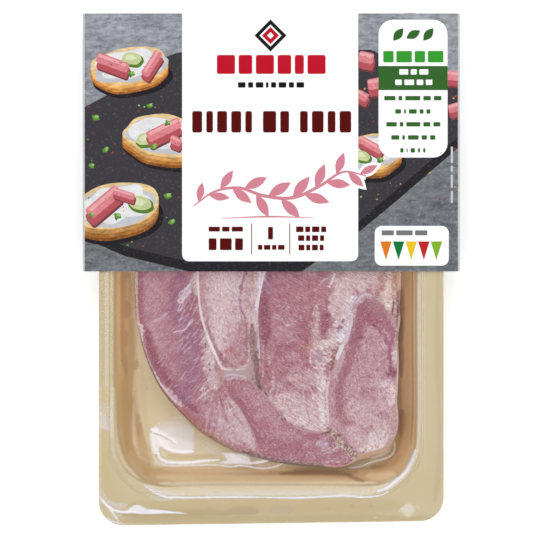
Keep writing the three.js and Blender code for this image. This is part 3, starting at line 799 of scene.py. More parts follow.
# Fat, seams, dark muscle, cracks and specks of each piece
LEFT_STROKES = [
    (light, 9, 0.5, [(152, 272), (153, 300), (157, 330), (163, 350)]),
    (mauve, 12, 0.7, [(182, 275), (178, 300), (184, 322), (196, 345)]),
    (flesh, 5, 0.45, [(176, 304), (184, 308), (186, 318)]),
    (mauve, 12, 0.6, [(185, 345), (190, 365), (192, 385)]),
    (rgb(158, 90, 104), 3.0, 0.8, [(140, 262), (139.8, 295), (141, 320), (144.6, 333)]),
    (deep, 5.0, 0.85, [(147, 330), (150, 347), (155, 361), (163, 375), (174, 390), (188, 404), (196, 412)]),
    (mauve, 9, 0.7, [(178, 388), (188, 400)]),
    (rgb(168, 104, 98), 4.0, 0.75, [(181.6, 409.6), (191.6, 419), (199.6, 425.4), (208, 431)]),
    (rgb(180, 130, 122), 4.6, 0.9, [(206, 430.6), (214, 435.6), (224, 441), (236, 446)]),
    (rgb(142, 84, 76), 2.4, 0.85, [(239, 449), (246, 451.4), (252, 453.4)]),
    (light, 8, 0.6, [(204, 400), (215, 415), (222, 432)]),
    (pale, 9, 0.9, [(228, 402), (238, 422), (247, 440)]),
    (pale, 7, 0.7, [(220, 420), (232, 440), (246, 450)]),
    (pale, 4.8, 0.9, [(205, 338), (208, 352), (209, 372), (214, 385)]),
    (fat, 3.0, 0.85, [(209, 350), (212, 358), (212, 368)]),
    (pale, 2.8, 0.85, [(167, 389), (173.5, 398), (181, 406)]),
    (pale, 5.5, 0.8, [(214, 374), (216, 388)]),
    (tan, 2.2, 0.6, [(217, 365), (220, 374), (222, 380)]),
    (white, 1.0, 0.85, [(140.5, 330), (142.3, 345), (147.2, 360), (154.5, 375), (165.5, 391),
        (177.5, 404.5)]),
    (white, 2.4, 0.75, [(141, 325), (142, 333)]),
    (lilac, 3.9, 0.95, [(179.6, 299.6), (183, 295.6), (187, 291), (190, 286.6)]),
    (rgb(226, 206, 206), 0.9, 0.9, [(176.5, 299.8), (179.6, 302.8), (184.6, 298), (191, 290.4)]),
    (white, 0.9, 0.85, [(186, 289), (189, 285), (191, 281), (194, 278)]),
    (grey, 0.8, 0.9, [(178.5, 299), (178.5, 295), (181, 291)]),
    (cream, 2.8, 0.8, [(195, 274), (194, 284), (196.5, 295)]),
    (grey, 1.4, 0.7, [(193, 272), (192, 282), (193.5, 292)]),
    (crack, 0.8, 0.6, [(194, 289), (194.4, 290)]),
    (rgb(154, 90, 106), 3.0, 0.6, [(191, 296), (194, 302), (196, 315)]),
    (white, 0.7, 0.9, [(173, 332.5), (179, 331.3), (183, 330.6), (187, 327), (189.5, 322)]),
    (white, 0.6, 0.6, [(187, 327), (192, 321), (193, 317)]),
    (pale, 0.9, 0.8, [(166.5, 334), (168.5, 334)]),
    (pale, 0.6, 0.7, [(164.5, 342.2), (171, 342)]),
    (lilac, 1.1, 0.5, [(151, 322.6), (157, 320), (163, 316.6), (168.6, 311.4)]),
    (deep, 2.4, 0.9, [(202, 326), (204, 330)]),
    (deep, 1.5, 0.7, [(199, 318), (201, 323)]),
    (crack, 0.7, 0.8, [(205.4, 343), (205.2, 348)]),
    (brown, 0.9, 0.8, [(208, 364.5), (210, 364)]),
    (brown, 0.9, 0.85, [(209.5, 369.5), (209.8, 371.5)]),
    (crack, 0.5, 0.9, [(197, 391), (202, 386)]),
    (crack, 0.4, 0.7, [(204.5, 381.5), (207, 379)]),
    (crack, 0.5, 0.6, [(199.5, 393.5), (203, 391)]),
    (white, 0.8, 0.6, [(196, 402), (200, 397), (204, 393)]),
    (white, 0.7, 0.6, [(204, 396), (209, 390)]),
    (fat, 2.0, 0.7, [(214, 389), (217, 390)]),
    (red, 1.4, 0.6, [(219, 390), (221, 399), (223, 409)]),
    (red, 1.2, 0.6, [(223, 391), (227, 400), (231, 409)]),
    (fat, 0.8, 0.6, [(222, 392), (226, 404), (231, 416)]),
    (fat, 0.8, 0.6, [(228, 397), (234, 408), (238, 419)]),
    (dark, 1.0, 0.5, [(229, 404), (233, 412), (235, 418)]),
    (lilac, 1.9, 0.8, [(213, 424), (215, 426)]),
    (fat, 1.5, 0.5, [(234, 433), (240, 430)]),
    (brown, 1.0, 0.55, [(205, 432), (222, 443), (240, 452.5), (255, 456.5)]),
    (red, 2.2, 0.6, [(222, 441), (236, 446.6), (246, 450)]),
    (pale, 5, 0.85, [(246, 432), (251, 442), (253, 450)]),
]
INNER_STROKES = [
    (flesh, 3.4, 0.55, [(201.5, 265), (203, 300), (207, 322)]),
    (light, 3.0, 0.6, [(206, 265), (207, 292)]),
    (tan, 1.4, 0.35, [(204, 280), (205, 293)]),
    (fat, 10, 0.7, [(224, 270), (222, 300), (220, 330), (224, 343)]),
    (lilac, 5, 0.35, [(233, 272), (232, 290), (236, 300)]),
    (light, 5.5, 0.55, [(250, 268), (246, 290), (245, 310)]),
    (flesh, 6, 0.6, [(234, 350), (240, 335), (243, 322)]),
    (red, 7, 0.5, [(236, 356), (226, 352)]),
    (rgb(166, 116, 127), 2.0, 0.9, [(208.4, 328), (212.4, 340), (216.6, 350), (221.6, 360)]),
    (fat, 2.6, 0.8, [(212, 330), (217.6, 341), (221.6, 351)]),
    (light, 3, 0.5, [(230, 334), (232, 344)]),
    (red, 2.4, 0.6, [(230, 349), (235, 352)]),
    (deep, 3.2, 0.7, [(220, 354), (224, 362), (230, 366)]),
    (dark, 5.0, 0.65, [(240, 354), (245, 348), (247, 338)]),
    (rgb(184, 138, 146), 9.0, 0.9, [(237, 349), (242, 357), (244, 364)]),
    (rgb(180, 132, 140), 4.0, 0.8, [(228, 365), (238, 366.4), (246, 362)]),
    (mauve, 1.7, 0.8, [(247, 268), (244, 278), (241.3, 286), (240.6, 294)]),
    (mauve, 1.0, 0.7, [(240, 292), (239.5, 301), (240.4, 308), (243, 314)]),
    (dark, 1.1, 0.75, [(241.5, 311), (244.5, 317), (246, 323), (247, 331), (246, 340)]),
    (light, 3.5, 0.5, [(226, 272), (225, 268)]),
    (tan, 3.2, 0.4, [(254, 270), (251, 285)]),
    (rgb(222, 212, 222), 2.6, 0.9, [(264, 262), (261, 275), (258, 288)]),
    (rgb(164, 120, 127), 3.0, 0.85, [(249.4, 334), (249.4, 346), (248.6, 358)]),
    (brown, 0.9, 0.4, [(225.4, 295), (227, 296.2)]),
    (brown, 0.8, 0.35, [(206.4, 290.2), (208.4, 290)]),
    (dark, 0.8, 0.5, [(249, 290), (250, 292)]),
    (mauve, 2.0, 0.45, [(206, 318), (208.5, 331)]),
    (dark, 1.5, 0.6, [(246, 345), (247, 356)]),
    (deep, 0.8, 0.6, [(233, 354), (237, 355.5)]),
    (rgb(212, 194, 200), 1.1, 0.8, [(248.4, 340), (249, 350), (248.6, 360), (247, 365)]),
    (pale, 0.7, 0.6, [(242, 345), (244, 348)]),
    (red, 0.8, 0.5, [(241, 363), (245, 359)]),
    (white, 1.2, 0.6, [(240, 367.5), (247, 366)]),
]
MIDDLE_STROKES = [
    (light, 12, 0.4, [(285, 318), (284, 340)]),
    (deep, 6.0, 0.85, [(265, 292), (264, 310), (266, 330), (266, 343)]),
    (mauve, 4.0, 0.7, [(270, 266), (268, 282), (265.5, 296)]),
    (dark, 8, 0.6, [(276, 350), (292, 346)]),
    (dark, 5.5, 0.6, [(305, 322), (306, 340)]),
    (rgb(211, 184, 182), 12, 0.95, [(364, 258), (364, 275), (362, 288)]),
    (rgb(205, 174, 170), 7.5, 0.9, [(376, 262), (379, 284), (382, 302)]),
    (rgb(209, 180, 182), 13, 1.0, [(346, 262), (343, 285), (341, 305)]),
    (white, 4.4, 0.8, [(352, 298), (347, 309), (345, 320)]),
    (light, 6, 0.7, [(336, 264), (340, 271), (341, 279)]),
    (pale, 4.4, 1.0, [(332, 294), (332.6, 304), (333, 316)]),
    (rgb(214, 195, 203), 2.8, 0.95, [(357, 298), (353.6, 303), (352, 311), (350, 321), (346.4, 332)]),
    (rgb(206, 190, 206), 1.6, 0.6, [(267.4, 262), (264, 280)]),
    (fat, 9, 1.0, [(343, 312), (338, 338), (328, 344)]),
    (lilac, 5.5, 0.7, [(343, 320), (341, 336)]),
    (white, 3.5, 0.5, [(346, 330), (342, 341)]),
    (pale, 3.2, 0.9, [(316, 306), (316, 325), (315, 344)]),
    (fat, 6, 0.8, [(314, 350), (326, 344)]),
    (dark, 4.2, 0.95, [(325, 312), (324.5, 324), (323.5, 333)]),
    (deep, 2.0, 0.7, [(327.5, 313), (328, 321), (326, 332)]),
    (red, 2.0, 0.8, [(327, 299), (327, 308)]),
    (flesh, 2.0, 0.8, [(320, 296), (320, 310)]),
    (mauve, 2.4, 0.8, [(342, 322), (344.5, 322)]),
    (mauve, 3.2, 0.9, [(339.5, 326.6), (341.3, 331.5)]),
    (mauve, 1.6, 0.5, [(339.5, 323), (339.5, 326)]),
    (flesh, 7, 0.6, [(322, 268), (322, 284), (316, 292)]),
    (pale, 2.0, 0.6, [(315, 273), (316, 278)]),
    (pale, 2.0, 0.5, [(314, 291), (319, 290)]),
    (white, 0.9, 0.95, [(334.6, 274), (333, 279.5), (331, 284), (328.8, 288.5)]),
    (white, 0.8, 0.6, [(320.5, 283), (324, 280), (329.5, 278.4)]),
    (red, 2.6, 0.45, [(334, 284), (330, 294)]),
    (flesh, 4.0, 0.35, [(341, 268), (344, 277)]),
    (rgb(184, 138, 136), 3.2, 0.9, [(386, 262), (383, 278), (377, 298)]),
    (pale, 2.0, 0.7, [(376, 272), (374, 290)]),
    (rgb(221, 198, 188), 3.4, 0.9, [(390, 264), (389, 285), (386.6, 300), (386, 309)]),
    (rgb(204, 172, 152), 1.8, 0.6, [(391.6, 268), (390.4, 290)]),
    (rgb(212, 190, 180), 3.2, 0.95, [(391.8, 290), (391.6, 303), (390.4, 311)]),
    (rgb(200, 156, 148), 2.6, 0.95, [(395.6, 288), (395.4, 304), (395.4, 315)]),
    (rgb(150, 102, 98), 0.9, 0.8, [(393.8, 300), (393.4, 308), (392.8, 315)]),
    (rgb(192, 148, 116), 2.0, 0.9, [(394.3, 262), (394.6, 280), (394, 292)]),
    (light, 2.4, 0.8, [(389, 312), (392, 316)]),
    (lilac, 1.8, 0.8, [(361, 296), (366, 293.5), (371, 296)]),
    (lilac, 1.2, 0.7, [(353.5, 308), (357, 300), (361, 296)]),
    (white, 1.1, 0.85, [(393.5, 300), (390, 305), (386, 308.8)]),
    (brown, 0.7, 0.9, [(394, 302), (393.6, 307), (393, 312)]),
    (pale, 0.8, 0.5, [(395.6, 300), (395, 308), (394.6, 316)]),
    (tan, 3.5, 0.35, [(337, 343), (338, 346)]),
    (light, 12, 0.7, [(300, 366), (299, 384)]),
    (pale, 8, 0.6, [(292, 378), (306, 382), (314, 372)]),
    (light, 9, 0.7, [(268, 386), (280, 394), (296, 396)]),
    (pale, 14, 0.95, [(282, 399), (298, 409), (318, 416)]),
    (pale, 11, 0.9, [(300, 412), (314, 408), (318, 395)]),
    (pale, 5.5, 0.9, [(268, 398), (278, 408), (290, 418), (304, 424)]),
    (fat, 9, 0.9, [(292, 414), (304, 421), (318, 424)]),
    (fat, 5, 0.9, [(306, 427), (318, 429), (326, 428)]),
    (dark, 12, 0.3, [(284, 268), (283, 300)]),
    (white, 4.5, 0.75, [(322, 408), (324, 418), (321, 426)]),
    (fat, 7, 0.85, [(319, 388), (321, 372)]),
    (white, 3.4, 0.6, [(323, 410), (322, 396), (324, 380)]),
    (pale, 6.5, 0.7, [(288, 402), (296, 418)]),
    (fat, 10.0, 0.9, [(320, 346), (321, 366)]),
    (light, 6.5, 0.85, [(319, 352), (320, 361)]),
    (grey, 5.0, 0.7, [(319, 354), (320, 359)]),
    (white, 0.8, 0.7, [(311, 350), (310.5, 360), (314, 367), (320, 369), (326, 364)]),
    (tan, 0.9, 0.5, [(312, 349), (318, 344.5), (325, 345)]),
    (red, 3.6, 0.7, [(304, 355), (308, 357)]),
    (red, 2.8, 0.75, [(303.5, 364.5), (307, 366)]),
    (tan, 1.4, 0.5, [(301, 345), (306, 348.5), (312, 346)]),
    (tan, 1.1, 0.5, [(310, 350), (316, 345), (320, 341)]),
    (brown, 0.8, 0.4, [(303, 349.4), (308, 349.8)]),
    (red, 3.0, 0.5, [(265, 352), (266, 372), (266.5, 386)]),
    (pale, 1.3, 0.65, [(269, 357), (269, 364)]),
    (pale, 1.6, 0.65, [(273, 372), (274, 392)]),
    (pale, 1.2, 0.5, [(262.5, 345), (263, 360), (262.5, 378)]),
    (red, 1.0, 0.5, [(276, 360), (277, 371)]),
    (red, 1.2, 0.5, [(301, 372), (303, 382)]),
    (red, 2.4, 0.5, [(314, 386), (316, 393)]),
    (red, 3.0, 0.4, [(273, 395), (280, 390)]),
    (white, 0.8, 0.8, [(286.3, 325), (289.5, 325.4)]),
    (crack, 0.6, 0.85, [(297.5, 320.3), (300.5, 321.8)]),
    (crack, 0.5, 0.7, [(296, 334), (299.5, 337), (303, 340.5)]),
    (brown, 0.6, 0.8, [(310.4, 325.5), (310.5, 329.5)]),
    (crack, 0.7, 0.6, [(295, 373), (295.8, 373.4)]),
    (grey, 0.8, 0.6, [(301, 298.4), (302.6, 299.6)]),
    (brown, 0.6, 0.4, [(291.5, 295.2), (292.4, 295.4)]),
    (deep, 1.7, 0.45, [(306, 307), (307.5, 307.6)]),
    (brown, 0.8, 0.8, [(280.5, 412.5), (283.5, 416)]),
    (brown, 0.6, 0.7, [(264.5, 392), (267, 396)]),
    (crack, 0.9, 0.6, [(303, 427), (304, 427.2)]),
    (rgb(222, 209, 218), 4.2, 0.85, [(344, 330), (341, 337), (339.4, 342)]),
]
TIP_STROKES = [
    (rgb(146, 98, 92), 2.6, 0.85, [(251, 455), (259, 457), (270, 460)]),
    (flesh, 9, 0.5, [(240, 386), (255, 398)]),
    (dark, 4.0, 0.8, [(228, 388), (236, 398), (243, 409), (250, 420), (256, 434), (262, 447)]),
    (light, 6.5, 0.6, [(244, 388), (255, 396), (266, 412), (278, 424)]),
    (red, 3.0, 0.4, [(232, 387), (236, 384)]),
    (dark, 8.0, 0.5, [(270, 444), (285, 450), (300, 446)]),
    (dark, 4.0, 0.6, [(309, 438), (321, 439)]),
    (light, 6.0, 0.5, [(272, 432), (300, 438)]),
    (lilac, 4.6, 0.45, [(318, 443.6), (326, 444.6)]),
    (mauve, 2.4, 0.5, [(330, 443), (333, 447)]),
    (white, 0.8, 0.7, [(333, 452), (336, 448.5), (339, 444.5)]),
    (rgb(166, 104, 114), 3.2, 0.7, [(330, 457), (336, 455.5), (343, 455)]),
    (pale, 1.2, 0.6, [(323, 463.5), (333, 461.5), (341, 463)]),
    (pale, 0.9, 0.5, [(345, 458), (348, 461)]),
    (red, 1.8, 0.6, [(262, 455.5), (280, 461), (305, 464), (330, 466), (348, 463)]),
    (tan, 1.0, 0.4, [(262, 456.5), (285, 462), (305, 464.5)]),
    (crack, 0.7, 0.5, [(259, 428), (261, 431)]),
    (brown, 0.8, 0.4, [(265, 433), (266, 440)]),
    (light, 1.1, 0.5, [(253, 424), (258, 431)]),
    (pale, 0.8, 0.6, [(296, 436), (297, 437)]),
    (pale, 0.8, 0.6, [(268, 415.5), (269, 416)]),
    (fat, 1.6, 0.6, [(226, 379.5), (236, 377.5), (246, 380)]),
]
RIGHT_STROKES = [
    (light, 15, 0.75, [(362, 360), (362, 395), (364, 420)]),
    (dark, 8.5, 0.95, [(367, 303), (362, 312), (372, 318), (380, 322)]),
    (rgb(165, 113, 122), 5.0, 0.95, [(367, 301), (376, 307.6), (386, 318)]),
    (rgb(162, 103, 117), 7.0, 0.95, [(360, 310), (359.6, 328), (356, 341), (351, 355)]),
    (deep, 3.5, 0.4, [(360, 322), (358, 334), (354, 345)]),
    (rgb(168, 112, 124), 5.6, 0.95, [(353, 346), (348.6, 361), (344, 376)]),
    (rgb(168, 112, 124), 5.0, 0.95, [(345.6, 368), (341, 384), (339, 400), (340, 412)]),
    (dark, 2.2, 0.4, [(349, 362), (343, 380), (339.4, 396)]),
    (rgb(200, 166, 174), 3.6, 0.8, [(344, 352), (339, 364), (334.6, 378)]),
    (rgb(190, 148, 156), 2.4, 0.8, [(332, 388), (331, 402), (332, 416)]),
    (red, 5.5, 0.4, [(339, 410), (344, 419), (350, 427)]),
    (dark, 5.0, 0.75, [(384, 318), (391, 332), (393, 343)]),
    (light, 5.0, 0.7, [(372, 332), (380, 342)]),
    (fat, 3.5, 0.5, [(384, 342), (385, 350)]),
    (dark, 2.4, 0.9, [(374, 325), (380, 330), (385, 336.5), (389, 345), (390.5, 358), (391, 368)]),
    (pale, 0.9, 0.8, [(384.5, 330.5), (388, 335.5), (390.5, 340)]),
    (crack, 0.7, 0.85, [(373, 325), (376.5, 326.6)]),
    (deep, 6.2, 0.95, [(389.4, 374.4), (397, 370.6)]),
    (fat, 2.6, 0.95, [(395, 350), (395, 364)]),
    (fat, 6.0, 0.85, [(382, 384), (391.4, 388.6), (391, 398)]),
    (pale, 7.0, 0.6, [(378, 380), (384, 398), (382, 408)]),
    (pale, 12, 0.65, [(354, 404), (368, 418), (382, 420)]),
    (pale, 9, 0.7, [(350, 430), (364, 443), (384, 440)]),
    (fat, 9.0, 0.9, [(372, 440), (384, 434)]),
    (rgb(212, 186, 184), 5.0, 0.7, [(386, 424), (388, 434), (384, 441)]),
    (white, 4.4, 0.4, [(372, 436), (376, 445)]),
    (rgb(224, 204, 202), 4.4, 0.95, [(360, 449.6), (372, 447.6), (381, 444.6), (387, 440)]),
    (rgb(220, 194, 192), 5.0, 0.9, [(392.4, 386), (393, 396), (392.4, 405)]),
    (rgb(200, 166, 166), 4.0, 0.7, [(391, 408), (390, 420), (391, 426)]),
    (pale, 6.0, 0.6, [(352, 436), (362, 446)]),
    (flesh, 5.0, 0.5, [(364, 388), (366, 396)]),
    (red, 1.4, 0.5, [(372, 398), (377, 399)]),
    (rgb(196, 156, 146), 2.4, 0.7, [(395.4, 404), (396, 420), (394, 432)]),
    (red, 0.9, 0.65, [(377, 417), (382, 413)]),
    (red, 0.9, 0.65, [(380, 411.5), (383, 419)]),
    (red, 1.3, 0.4, [(372, 424), (374, 431)]),
    (brown, 0.45, 0.85, [(359.5, 377.2), (367.5, 377.5)]),
    (brown, 0.7, 0.7, [(366, 341), (367, 341.6)]),
    (brown, 0.6, 0.5, [(360, 339.5), (361.5, 339.2)]),
    (brown, 0.6, 0.5, [(363, 338.2), (364, 338.4)]),
    (white, 0.7, 0.8, [(373.2, 407.2), (374, 407.2)]),
    (white, 0.7, 0.8, [(376, 424.6), (377.4, 424.8)]),
    (lilac, 1.1, 0.6, [(355, 318), (357, 306), (362, 300.5), (367, 299)]),
]


def scattered(colour, count, area_box, direction, length, width, strength, seed, spread=0.22):
    """Short strokes strewn in a box of the grid, along an angle or fanning out from a point"""
    rng = np.random.default_rng(seed)
    made = []
    for _ in range(count):
        u, v = rng.uniform(*area_box[:2]), rng.uniform(*area_box[2:])
        angle = math.atan2(v - direction[1], u - direction[0]) if isinstance(direction, tuple) else direction
        angle += rng.normal(0, spread)
        half = length * rng.uniform(0.4, 1.2) / 2
        reach_u, reach_v = half * math.cos(angle), half * math.sin(angle)
        ends = [(u - reach_u, v - reach_v), (u + reach_u, v + reach_v)]
        made.append((colour, width * rng.uniform(0.7, 1.3), strength * rng.uniform(0.5, 1), ends))
    return made


def frayed(seed):
    """Hairs across the torn seam between the tip and the right-hand tongue"""
    made = [(rgb(188, 146, 136), 3.0, 0.75, [(332, 434), (343, 446), (356, 458)])]
    for k in range(9):
        u, v = 331 + 3 * k, 433 + 3.1 * k
        for number, colour in enumerate((rgb(120, 74, 64), rgb(232, 210, 200), rgb(100, 56, 48))):
            spot = (u - 2, u + 3, v - 3, v + 2)
            made += scattered(colour, 3, spot, -0.8, 5, 0.5, 0.95, 100 + seed + 7 * k + number, 0.3)
    return made


# Fibres: colour, count, box on the grid, angle or fan point, length, half width, strength, seed and spread
FIBRES = {
    "tongue_left": [
        *scattered(lilac, 42, (178, 206, 298, 348), -0.95, 13, 0.5, 0.75, 1),
        *scattered(deep, 24, (186, 206, 300, 345), -0.95, 12, 0.6, 0.6, 2),
        *scattered(lilac, 60, (160, 212, 340, 402), -0.75, 9, 0.45, 0.55, 3),
        *scattered(deep, 40, (160, 212, 345, 405), -0.75, 9, 0.5, 0.45, 4),
        *scattered(light, 50, (142, 180, 275, 350), -0.5, 10, 0.5, 0.4, 5),
        *scattered(deep, 26, (165, 200, 275, 300), -0.8, 10, 0.6, 0.5, 6),
        *scattered(pale, 46, (205, 248, 396, 445), (217, 384), 15, 0.6, 0.6, 7, 0.08),
        *scattered(dark, 34, (205, 246, 394, 445), (217, 384), 13, 0.55, 0.6, 8, 0.08),
        *scattered(white, 26, (205, 250, 405, 445), 0.4, 4, 0.6, 0.5, 9, 1.0),
        *scattered(white, 30, (200, 216, 345, 398), -1.1, 5, 0.7, 0.6, 10, 0.6),
        *scattered(brown, 34, (215, 258, 440, 458), 1.0, 3.4, 0.5, 0.7, 11, 0.5),
        *scattered(fat, 22, (205, 256, 436, 456), 1.0, 4, 0.5, 0.6, 12, 0.5),
    ],
    "tongue_inner": [
        *scattered(dark, 60, (208, 250, 300, 366), 1.2, 2.0, 0.5, 0.6, 21, 1.0),
        *scattered(white, 60, (206, 252, 272, 350), 1.4, 4, 0.6, 0.55, 22, 0.6),
        *scattered(red, 40, (222, 250, 318, 366), 1.3, 6, 0.7, 0.5, 23, 0.5),
        *scattered(tan, 26, (244, 262, 272, 312), 1.5, 3, 0.6, 0.45, 24, 0.9),
        *scattered(brown, 8, (244, 262, 274, 300), 1.5, 1, 0.6, 0.5, 25, 0.9),
    ],
    "tongue_middle": [
        *scattered(light, 80, (266, 318, 275, 345), 0.75, 8, 0.45, 0.5, 31, 0.15),
        *scattered(deep, 60, (262, 318, 275, 345), 0.75, 8, 0.45, 0.5, 32, 0.15),
        *scattered(pale, 50, (278, 328, 285, 345), 0.9, 4, 0.65, 0.6, 33, 0.7),
        *scattered(red, 24, (300, 318, 290, 345), 1.45, 14, 0.7, 0.45, 34, 0.15),
        *scattered(dark, 60, (262, 312, 345, 395), 1.2, 6, 0.7, 0.5, 35, 0.7),
        *scattered(light, 50, (262, 312, 345, 395), 1.2, 6, 0.6, 0.5, 36, 0.7),
        *scattered(white, 50, (266, 328, 385, 430), (300, 340), 14, 0.6, 0.4, 37, 0.12),
        *scattered(red, 44, (266, 322, 380, 425), (300, 340), 13, 0.55, 0.36, 38, 0.12),
        *scattered(white, 50, (333, 396, 272, 300), 1.7, 5, 0.6, 0.45, 39, 0.5),
        *scattered(tan, 30, (333, 396, 272, 318), 1.7, 6, 0.6, 0.4, 40, 0.4),
        *scattered(white, 34, (318, 352, 318, 350), 1.9, 4, 0.7, 0.6, 41, 0.7),
        *scattered(red, 22, (309, 333, 348, 372), 0.6, 5, 0.8, 0.5, 42, 1.2),
        *scattered(white, 26, (309, 333, 346, 374), 0.6, 6, 0.6, 0.7, 43, 1.2),
        *scattered(white, 40, (318, 328, 372, 428), 1.6, 6, 0.6, 0.4, 44, 0.4),
        *scattered(crack, 9, (270, 325, 290, 400), 0.9, 2, 0.35, 0.8, 45, 0.8),
        *scattered(brown, 16, (328, 339, 348, 374), 1.9, 2.4, 0.5, 0.8, 46, 0.5),
    ],
    "tongue_tip": [
        *scattered(white, 90, (228, 350, 382, 466), -0.6, 2.4, 0.45, 0.5, 51, 0.6),
        *scattered(deep, 80, (228, 350, 382, 466), -0.7, 3.4, 0.5, 0.45, 52, 0.6),
        *scattered(light, 50, (240, 300, 395, 455), 0.8, 7, 0.5, 0.4, 53, 0.3),
        *scattered(lilac, 24, (322, 350, 440, 466), -0.4, 8, 0.6, 0.55, 54, 0.3),
        *frayed(0),
    ],
    "tongue_right": [
        *scattered(light, 60, (345, 396, 325, 380), 1.1, 5, 0.6, 0.5, 61, 0.9),
        *scattered(dark, 46, (350, 396, 330, 385), 1.2, 5, 0.6, 0.5, 62, 0.9),
        *scattered(white, 46, (340, 396, 380, 450), 0.9, 3.4, 0.6, 0.5, 63, 1.0),
        *scattered(red, 34, (340, 392, 385, 450), 0.9, 4, 0.6, 0.45, 64, 1.0),
        *scattered(deep, 30, (336, 372, 305, 400), 1.7, 6, 0.6, 0.4, 65, 0.4),
        *scattered(tan, 26, (356, 392, 446, 458), -0.3, 3, 0.6, 0.6, 66, 0.6),
        *frayed(6),
    ],
}
# Base colour, then the fibres' direction, stretch, bands and contrast
SLICE_LOOKS = {
    "tongue_left": (flesh, LEFT_STROKES, dict(turn=0.85, stretch=2.4, banded=0.1, contrast=1.05)),
    "tongue_inner": (pale, INNER_STROKES, dict(turn=1.7, stretch=1.6, banded=0.04, contrast=1.1)),
    "tongue_middle": (flesh, MIDDLE_STROKES, dict(turn=-0.56, stretch=3.2, banded=0.12, contrast=1.5)),
    "tongue_tip": (flesh, TIP_STROKES, dict(turn=0.6, stretch=1.3, banded=0.04, contrast=1.32)),
    "tongue_right": (light, RIGHT_STROKES, dict(turn=-1.1, stretch=1.3, banded=0.04, contrast=1.38)),
}
SEAM_DOTS = [(326.6, 384), (325.6, 395), (326, 400), (326.6, 404), (326, 408)]
JELLY_STROKES = [
    (white, 2.2, 1.0, [(198, 262), (197.6, 285), (199.3, 303), (202, 320), (207, 335), (213, 350),
        (218, 362), (222, 369)]),
    (rgb(236, 226, 230), 2.6, 1.0, [(208.6, 338), (212, 346.4), (216, 355)]),
    (white, 1.4, 0.9, [(221, 368.5), (231, 370.4), (245, 369.3)]),
    (rgb(184, 154, 161), 4.0, 1.0, [(226, 373), (238, 373), (250, 374)]),
    (rgb(178, 146, 150), 3.0, 1.0, [(251.5, 364), (252.5, 376), (256, 384)]),
    (lilac, 1.2, 0.8, [(224, 376.5), (236, 375.3), (246, 378)]),
    (tan, 1.2, 0.7, [(221, 372), (223, 379)]),
    (rgb(226, 216, 226), 3.4, 1.0, [(268, 255), (264.8, 272), (261, 285), (258, 299), (256.4, 313)]),
    (lilac, 1.3, 1.0, [(256.6, 311), (257, 325), (258, 340), (259.4, 356), (259.8, 366)]),
    (sand, 3.0, 0.9, [(252, 308), (252.4, 318), (252.6, 326)]),
    (rgb(150, 108, 110), 4.4, 0.95, [(253, 326), (252.8, 344), (253.6, 360)]),
    (rgb(172, 136, 136), 1.2, 0.7, [(256, 330), (256, 344), (256.4, 356)]),
    (rgb(214, 196, 206), 1.5, 0.75, [(254.6, 316), (255.6, 332)]),
    (brown, 0.9, 0.7, [(250.5, 317), (251.5, 320)]),
    (brown, 0.9, 0.7, [(251, 325), (252, 329)]),
    (brown, 0.8, 0.7, [(253.4, 340), (252.6, 346)]),
    (rgb(126, 78, 74), 3.2, 0.9, [(255.6, 352), (256.6, 366), (258, 381), (261.4, 391)]),
    (red, 1.2, 0.7, [(256, 366), (258, 369)]),
    (crack, 0.9, 0.8, [(251.5, 379.6), (254.5, 380)]),
    (crack, 0.9, 0.8, [(258.5, 386), (261.5, 389.5)]),
    (crack, 0.8, 0.8, [(264, 391), (266.8, 396)]),
    (brown, 0.9, 0.8, [(281, 413.5), (283, 416)]),
    (crack, 0.7, 0.8, [(284.5, 418), (286, 421)]),
    (crack, 0.7, 0.8, [(290, 424), (293, 426)]),
    (crack, 0.7, 0.8, [(302.6, 429), (304.4, 429.6)]),
    (lilac, 1.8, 0.9, [(340, 349), (337, 358)]),
    (rgb(226, 204, 202), 1.6, 0.9, [(330, 376), (326.6, 395), (327.3, 410), (328.8, 424)]),
    (rgb(214, 197, 207), 2.4, 0.95, [(353.4, 311), (351, 326), (346.4, 338.6), (342, 348)]),
    (rgb(226, 217, 226), 3.2, 0.95, [(343, 345), (340, 352), (337, 359)]),
    (lilac, 1.5, 0.9, [(356, 303), (362, 296.4), (367, 294.6), (373, 296.4)]),
    (rgb(212, 188, 176), 4.6, 0.95, [(375, 294.6), (383, 301), (390, 308.6), (396, 316)]),
    (rgb(168, 116, 124), 2.6, 0.95, [(372.4, 297), (379, 303), (386, 311.4), (392, 320)]),
    (brown, 1.0, 0.9, [(338.6, 347), (336, 354), (334.5, 358)]),
    (brown, 1.8, 0.75, [(334, 358), (332.5, 364), (331, 371)]),
    *[(crack, 0.55, 0.8, [(u, v), (u + 0.2, v + 1)]) for u, v in SEAM_DOTS],
    (crack, 0.9, 0.95, [(322, 433.6), (328, 433), (331, 431)]),
    (rgb(198, 158, 150), 3.2, 1.0, [(331, 434), (342, 446), (356, 458)]),
    (brown, 1.1, 0.8, [(332, 433), (335, 437.5), (338, 441)]),
    (crack, 0.8, 0.8, [(341, 443.5), (342.6, 446.5)]),
    (white, 0.8, 0.8, [(343.5, 442), (347, 447.5), (352, 452)]),
    (brown, 1.2, 0.95, [(353.5, 449.5), (356, 454), (358.5, 458.5)]),
    (cream, 1.4, 0.8, [(349, 450), (353, 455)]),
    *frayed(3),
    *scattered(brown, 20, (328, 340, 346, 374), 1.9, 2.0, 0.45, 0.8, 71, 0.6),
    *scattered(cream, 14, (328, 340, 346, 374), 1.9, 2.0, 0.45, 0.8, 72, 0.6),
    *scattered(crack, 46, (249, 262, 308, 392), 1.4, 1.4, 0.4, 0.7, 73, 0.8),
    *scattered(cream, 40, (249, 260, 300, 360), 1.4, 1.8, 0.5, 0.7, 74, 0.8),
]
